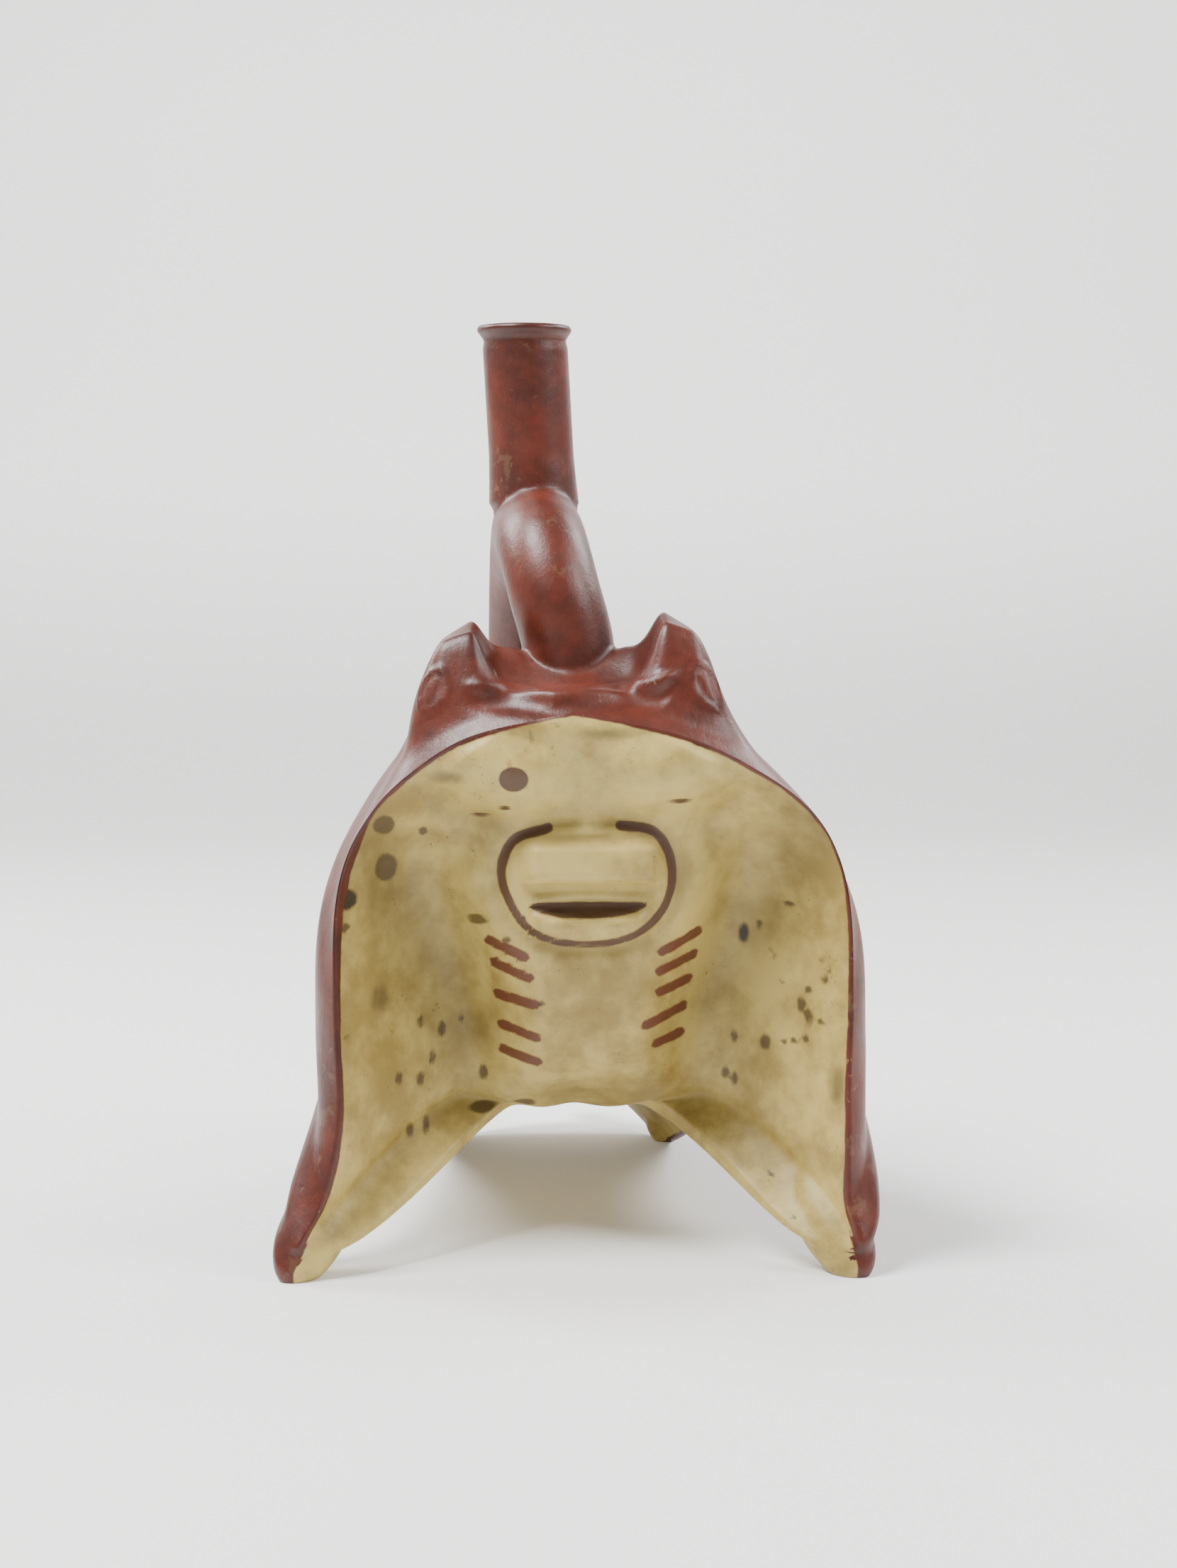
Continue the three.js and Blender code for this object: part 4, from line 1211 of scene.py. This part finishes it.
@dataclass(frozen=True)
class Effects:
    """The shader groups that the clay's finishes share."""

    def group(
        self, name: str, inputs: Feed, outputs: dict[str, str]
    ) -> tuple[bpy.types.NodeTree, Wiring, bpy.types.Node, bpy.types.Node]:
        """Start a group with named inputs and outputs."""
        tree = bpy.data.node_groups.new(name, "ShaderNodeTree")
        for label, start in inputs.items():
            kind = "Float" if isinstance(start, float) else ("Vector" if len(start) == 3 else "Color")
            made = tree.interface.new_socket(str(label), in_out="INPUT", socket_type=f"NodeSocket{kind}")
            made.default_value = start
        for label, kind in outputs.items():
            tree.interface.new_socket(label, in_out="OUTPUT", socket_type=f"NodeSocket{kind}")
        wiring = Wiring(tree)
        return tree, wiring, wiring.put("NodeGroupInput"), wiring.put("NodeGroupOutput")

    def mottle(self) -> bpy.types.NodeTree:
        """Clouds of two colours at three sizes."""
        inputs = {"Vector": (0.0, 0.0, 0.0), "Scale": 40.0, "Light": (0.6, 0.5, 0.3, 1.0),
                  "Dark": (0.3, 0.25, 0.15, 1.0), "Balance": 0.5, "Spread": 0.18}
        tree, w, start, end = self.group("ClayMottle", inputs, {"Color": "Color", "Height": "Float"})
        o = start.outputs
        fine = w.sum("MULTIPLY", o["Scale"], 5.0)
        big = w.noise(o["Vector"], o["Scale"], 4.0, 0.6)
        small = w.noise(o["Vector"], fine, 4.0, 0.65)
        mixed = w.sum("ADD", w.sum("MULTIPLY", big, 0.62), w.sum("MULTIPLY", small, 0.38))
        low, high = w.sum("SUBTRACT", o["Balance"], o["Spread"]), w.sum("ADD", o["Balance"], o["Spread"])
        feeds = {0: mixed, 1: low, 2: high}
        mask = w.put("ShaderNodeMapRange", feeds, interpolation_type="SMOOTHSTEP").outputs[0]
        w.tree.links.new(w.blend(mask, o["Light"], o["Dark"]), end.inputs["Color"])
        w.tree.links.new(mixed, end.inputs["Height"])
        return tree

    def edge(self) -> bpy.types.NodeTree:
        """A brushed edge: 1 where a distance is under a limit, with a wobble."""
        inputs = {"Vector": (0.0, 0.0, 0.0), "Distance": 0.0, "Limit": 0.0, "Wobble": 0.8,
                  "Wobble Scale": 220.0, "Softness": 0.3}
        tree, w, start, end = self.group("PaintEdge", inputs, {"Mask": "Float"})
        o = start.outputs
        wave = w.sum("SUBTRACT", w.noise(o["Vector"], o["Wobble Scale"], 4.0, 0.6), 0.5)
        moved = w.sum("ADD", o["Distance"], w.sum("MULTIPLY", wave, w.sum("MULTIPLY", o["Wobble"], 2.0)))
        low, high = w.sum("SUBTRACT", o["Limit"], o["Softness"]), w.sum("ADD", o["Limit"], o["Softness"])
        feeds = {0: moved, 1: low, 2: high, 3: 1.0, 4: 0.0}
        mask = w.put("ShaderNodeMapRange", feeds, interpolation_type="SMOOTHSTEP").outputs[0]
        w.tree.links.new(mask, end.inputs["Mask"])
        return tree

    def speckle(self) -> bpy.types.NodeTree:
        """Small scattered spots of a chosen size and share."""
        inputs = {"Vector": (0.0, 0.0, 0.0), "Scale": 700.0, "Share": 0.2}
        tree, w, start, end = self.group("Speckle", inputs, {"Mask": "Float"})
        o = start.outputs
        grain = w.noise(o["Vector"], o["Scale"], 3.0, 0.7)
        clump = w.noise(o["Vector"], w.sum("MULTIPLY", o["Scale"], 0.12), 2.0, 0.5)
        both = w.sum("ADD", w.sum("MULTIPLY", grain, 0.6), w.sum("MULTIPLY", clump, 0.4))
        low = w.sum("SUBTRACT", 0.68, w.sum("MULTIPLY", o["Share"], 0.3))
        feeds = {0: both, 1: low, 2: w.sum("ADD", low, 0.05)}
        mask = w.put("ShaderNodeMapRange", feeds, interpolation_type="SMOOTHSTEP").outputs[0]
        w.tree.links.new(mask, end.inputs["Mask"])
        return tree

    def strokes(self) -> bpy.types.NodeTree:
        """Low facets and streaks left by the burnishing pebble."""
        inputs = {"Vector": (0.0, 0.0, 0.0), "Scale": 160.0, "Stretch": (1.0, 1.0, 0.22)}
        tree, w, start, end = self.group("BurnishStrokes", inputs, {"Height": "Float"})
        o = start.outputs
        long = w.put("ShaderNodeVectorMath", {0: o["Vector"], 1: o["Stretch"]}, operation="MULTIPLY")
        streak = w.noise(long.outputs[0], w.sum("MULTIPLY", o["Scale"], 3.0), 3.0, 0.6)
        facet = w.noise(o["Vector"], o["Scale"], 2.0, 0.5)
        both = w.sum("ADD", w.sum("MULTIPLY", streak, 0.35), w.sum("MULTIPLY", facet, 0.65))
        w.tree.links.new(both, end.inputs["Height"])
        return tree


@dataclass(frozen=True)
class PaintedClay:
    """Burnished cream and red-brown slip over fired clay, worn and stained, with painted shade in its
    hollows.
    """

    cream_light: tuple[float, ...] = colour(192, 170, 98)
    cream_dark: tuple[float, ...] = colour(142, 119, 58)
    slip_light: tuple[float, ...] = colour(98, 40, 25)
    slip_dark: tuple[float, ...] = colour(62, 25, 17)
    worn: tuple[float, ...] = colour(138, 92, 60)
    crust: tuple[float, ...] = colour(150, 142, 104)
    brown: tuple[float, ...] = colour(66, 34, 24)
    red: tuple[float, ...] = colour(84, 32, 22)
    stain: tuple[float, ...] = colour(66, 50, 24)
    # Colour of the painted shade in the front's hollows.
    painted_shade_colour: tuple[float, ...] = colour(104, 86, 42)
    burn: tuple[float, ...] = colour(30, 21, 14)

    def material(self, kit: dict[str, bpy.types.NodeTree]) -> bpy.types.Material:
        """Build the material of the outside.

        Args:
            kit: The shader groups by name.

        Returns:
            The material.
        """
        made = bpy.data.materials.new("painted_clay")
        made.use_nodes = True
        made.node_tree.nodes.clear()
        w = Wiring(made.node_tree)
        place = w.put("ShaderNodeTexCoord").outputs["Object"]

        def use(name: str, feeds: Feed) -> bpy.types.Node:
            """Place one of the shared groups."""
            node = w.put("ShaderNodeGroup", node_tree=kit[name])
            for key, value in {"Vector": place, **feeds}.items():
                if isinstance(value, bpy.types.NodeSocket):
                    w.tree.links.new(value, node.inputs[key])
                else:
                    node.inputs[key].default_value = value
            return node

        clouds = {"Light": self.cream_light, "Dark": self.cream_dark, "Balance": 0.52}
        cream = use("ClayMottle", {"Scale": 24.0, "Spread": 0.13, **clouds})
        clouds = {"Light": self.slip_light, "Dark": self.slip_dark, "Balance": 0.5}
        slip = use("ClayMottle", {"Scale": 42.0, **clouds})
        bulge = w.stored("bulge")
        proud = w.ramp(bulge, 0.02, 0.22)
        hollow = w.ramp(bulge, -0.03, -0.3)
        rub = use("Speckle", {"Scale": 420.0, "Share": 0.22}).outputs[0]
        rubbed = w.sum("MULTIPLY", w.sum("ADD", w.sum("MULTIPLY", proud, 0.5), 0.3), rub)
        red = w.blend(rubbed, slip.outputs["Color"], self.worn)
        dust = use("Speckle", {"Scale": 150.0, "Share": 0.3}).outputs[0]
        crusted = w.sum("MULTIPLY", w.sum("ADD", w.sum("MULTIPLY", hollow, 0.55), 0.1), dust)
        red = w.blend(crusted, red, self.crust)
        pits = use("Speckle", {"Scale": 900.0, "Share": 0.14}).outputs[0]
        grime_and_painted_shade = use("Speckle", {"Scale": 260.0, "Share": 0.16}).outputs[0]
        pale = w.blend(w.sum("MULTIPLY", grime_and_painted_shade, 0.4), cream.outputs["Color"], self.stain)
        pale = w.blend(w.sum("MULTIPLY", pits, 0.6), pale, self.stain)
        # Painted shade: the cream darkens towards cream_dark wherever the surface is hollow.
        pale = w.blend(w.sum("MULTIPLY", hollow, 0.35), pale, self.cream_dark)
        # Painted shade: a brown tint, broken by noise, darkens the hollows beside the belly, under the
        # brow, round the mouth and across the lower belly.
        painted_shade_share = w.sum("MULTIPLY", w.stored("grime_and_painted_shade"), w.ramp(w.noise(place, 60.0, 4.0), 0.3, 0.7, 0.3, 0.62))
        pale = w.blend(painted_shade_share, pale, self.painted_shade_colour)
        for name, tint, limit, wobble, soft, most in (
            ("stain", self.stain, 0.15, 0.55, 0.4, 0.85),
            ("smear", self.stain, 0.1, 1.0, 1.1, 0.6),
            ("bars", self.red, 0.0, 0.45, 0.3, 0.93),
            ("line", self.brown, 0.0, 0.3, 0.25, 0.93),
            ("burn", self.burn, -0.2, 0.6, 0.5, 0.95),
        ):
            feeds = {"Distance": w.stored(name), "Limit": limit, "Wobble": wobble, "Softness": soft}
            mask = w.sum("MULTIPLY", use("PaintEdge", feeds).outputs[0], most)
            pale = w.blend(mask, pale, tint)
        feeds = {"Distance": w.stored("pale"), "Wobble": 0.7, "Wobble Scale": 130.0, "Softness": 0.28}
        covered = use("PaintEdge", feeds).outputs[0]
        coat = w.blend(covered, pale, red)
        strokes = use("BurnishStrokes", {"Scale": 150.0}).outputs[0]
        fine = w.noise(place, 1500.0, 3.0, 0.6)
        relief = w.sum("ADD", w.sum("MULTIPLY", strokes, 0.9), w.sum("MULTIPLY", fine, 0.16))
        relief = w.sum("SUBTRACT", relief, w.sum("MULTIPLY", pits, 0.12))
        relief = w.sum("ADD", relief, w.sum("MULTIPLY", covered, 0.1))
        bump = w.put("ShaderNodeBump", {"Strength": 0.5, "Distance": 0.0006, "Height": relief}).outputs[0]
        rough = w.sum("ADD", 0.4, w.sum("MULTIPLY", w.noise(place, 180.0), 0.16))
        rough = w.sum("ADD", rough, w.sum("MULTIPLY", w.sum("MAXIMUM", hollow, rubbed), 0.16))
        rough = w.sum("SUBTRACT", rough, w.sum("MULTIPLY", covered, 0.08))
        skin = w.put("ShaderNodeBsdfPrincipled", {"Base Color": coat, "Roughness": rough, "Normal": bump})
        skin.inputs["Specular IOR Level"].default_value = 0.45
        w.put("ShaderNodeOutputMaterial", {"Surface": skin.outputs[0]})
        return made


@dataclass(frozen=True)
class BareClay:
    """The unpainted clay inside the hollow and the bores."""

    light: tuple[float, ...] = colour(150, 104, 76)
    dark: tuple[float, ...] = colour(92, 58, 42)

    def material(self, kit: dict[str, bpy.types.NodeTree]) -> bpy.types.Material:
        """Build the material of the inside."""
        made = bpy.data.materials.new("bare_clay")
        made.use_nodes = True
        made.node_tree.nodes.clear()
        w = Wiring(made.node_tree)
        place = w.put("ShaderNodeTexCoord").outputs["Object"]
        group = w.put("ShaderNodeGroup", node_tree=kit["ClayMottle"])
        w.tree.links.new(place, group.inputs["Vector"])
        for key, value in {"Scale": 60.0, "Light": self.light, "Dark": self.dark}.items():
            group.inputs[key].default_value = value
        feeds = {"Strength": 0.6, "Distance": 0.0006, "Height": group.outputs["Height"]}
        bump = w.put("ShaderNodeBump", feeds)
        feeds = {"Base Color": group.outputs["Color"], "Normal": bump.outputs[0]}
        skin = w.put("ShaderNodeBsdfPrincipled", feeds)
        skin.inputs["Roughness"].default_value = 0.85
        w.put("ShaderNodeOutputMaterial", {"Surface": skin.outputs[0]})
        return made


@dataclass(frozen=True)
class Studio:
    """A plain pale floor and backdrop, soft light and the camera."""

    camera_place: tuple[float, float, float] = (-20.969, -721.921, 172.0)
    yaw: float = 2.1
    pitch: float = 4.95
    lens: float = 62.66

    def plain(self, name: str, tint: tuple[float, ...]) -> bpy.types.Material:
        """A matt, slightly clouded pale finish."""
        made = bpy.data.materials.new(name)
        made.use_nodes = True
        w = Wiring(made.node_tree)
        skin = made.node_tree.nodes["Principled BSDF"]
        place = w.put("ShaderNodeTexCoord").outputs["Object"]
        cloud = w.noise(place, 3.0, 2.0, 0.5)
        dim = tuple(0.97 * c for c in tint[:3]) + (1.0,)
        w.tree.links.new(w.blend(cloud, tint, dim), skin.inputs["Base Color"])
        skin.inputs["Roughness"].default_value = 0.75
        height = w.put("ShaderNodeSeparateXYZ", {0: place}).outputs[2]
        glow = w.blend(w.ramp(height, 0.0, 0.25, 0.12, 1.0), (0, 0, 0, 1), tint)
        w.tree.links.new(glow, skin.inputs["Emission Color"])
        skin.inputs["Emission Strength"].default_value = 1.2
        return made

    def build(self) -> None:
        """Set up floor, backdrop, lights and camera."""
        floor = lofted_sheet("floor", 1.6, 0.9, 1.5)
        floor.data.materials.append(self.plain("pale_paper", colour(236, 236, 234)))
        for name, place, size, power, aim in (
            ("left_back", (-0.75, 0.4, 0.75), 0.45, 13.0, (0, 0, 0.08)),
            ("right_back", (0.75, 0.4, 0.75), 0.45, 9.0, (0, 0, 0.08)),
            ("key", (-0.5, -0.3, 1.05), 0.4, 24.0, (0, 0, 0.05)),
            ("fill", (0.75, -0.35, 0.7), 0.4, 7.0, (0, 0, 0.08)),
        ):
            data = bpy.data.lights.new(name, "AREA")
            data.size = size
            data.energy = power
            lamp = bpy.data.objects.new(name, data)
            lamp.location = place
            lamp.rotation_euler = (Vector(aim) - Vector(place)).to_track_quat("-Z", "Y").to_euler()
            bpy.context.scene.collection.objects.link(lamp)
        world = bpy.data.worlds.new("studio")
        world.use_nodes = True
        world.node_tree.nodes["Background"].inputs["Color"].default_value = (1, 1, 1, 1)
        world.node_tree.nodes["Background"].inputs["Strength"].default_value = 0.2
        bpy.context.scene.world = world
        data = bpy.data.cameras.new("camera")
        data.sensor_fit = "VERTICAL"
        data.sensor_height = 36.0
        data.lens = self.lens
        camera = bpy.data.objects.new("camera", data)
        yaw, pitch = math.radians(self.yaw), math.radians(self.pitch)
        ahead = Vector((math.sin(yaw) * math.cos(pitch), math.cos(yaw) * math.cos(pitch), -math.sin(pitch)))
        camera.rotation_euler = ahead.to_track_quat("-Z", "Y").to_euler()
        camera.location = Vector(self.camera_place) * MM
        bpy.context.scene.collection.objects.link(camera)
        bpy.context.scene.camera = camera


def lofted_sheet(name: str, half: float, bend: float, rise: float) -> bpy.types.Object:
    """A sheet of paper that lies flat and curves up behind.

    Args:
        name: The new object's name.
        half: Half its width, in metres.
        bend: How far behind the object it starts to curve.
        rise: How high it goes.

    Returns:
        The sheet.
    """
    turn = np.linspace(0, math.pi / 2, 24)
    line = [(-1.6, 0.0)] + [(bend + 0.5 * math.sin(a), 0.5 - 0.5 * math.cos(a)) for a in turn]
    line.append((bend + 0.5, rise))
    points = [(x, y, z - 0.0002) for y, z in line for x in (-half, half)]
    faces = [(2 * i, 2 * i + 1, 2 * i + 3, 2 * i + 2) for i in range(len(line) - 1)]
    sheet = solid_object(name, np.array(points), faces)
    for face in sheet.data.polygons:
        face.use_smooth = True
    return sheet


def dressed(clay: bpy.types.Object, coats: list[bpy.types.Material]) -> None:
    """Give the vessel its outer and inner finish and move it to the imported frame."""
    clay.data.materials.clear()
    for coat in coats:
        clay.data.materials.append(coat)
    inside = np.zeros(len(clay.data.vertices), np.float32)
    clay.data.attributes["inside"].data.foreach_get("value", inside)
    for face in clay.data.polygons:
        face.material_index = int(min(inside[v] for v in face.vertices) > 0.5)
        face.use_smooth = True
    points = points_of(clay)
    points += FRAME_SHIFT
    clay.data.vertices.foreach_set("co", (points * MM).ravel())
    clay.data.update()
    LOG.info("vessel %s to %s", points.min(0), points.max(0))


def main() -> None:
    """Build the vessel and the studio, and log the vessel's extent."""
    logging.basicConfig(level=logging.INFO, format="%(message)s")
    effects = Effects()
    made = (effects.mottle(), effects.edge(), effects.speckle(), effects.strokes())
    kit = {tree.name: tree for tree in made}
    outer, inner = PaintedClay().material(kit), BareClay().material(kit)
    vessel = Vessel(BodyForm(), Stirrup(), Grid(), TubeMaker(outer), Marks())
    clay = vessel.build()
    dressed(clay, [outer, inner])
    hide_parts("vessel")
    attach(clay, "root")
    Studio().build()


def plain(box: object) -> list[list[float]]:
    """A box as plain lists of numbers."""
    return [[round(float(v), 6) for v in corner] for corner in box]


if __name__ == "__main__":
    main()
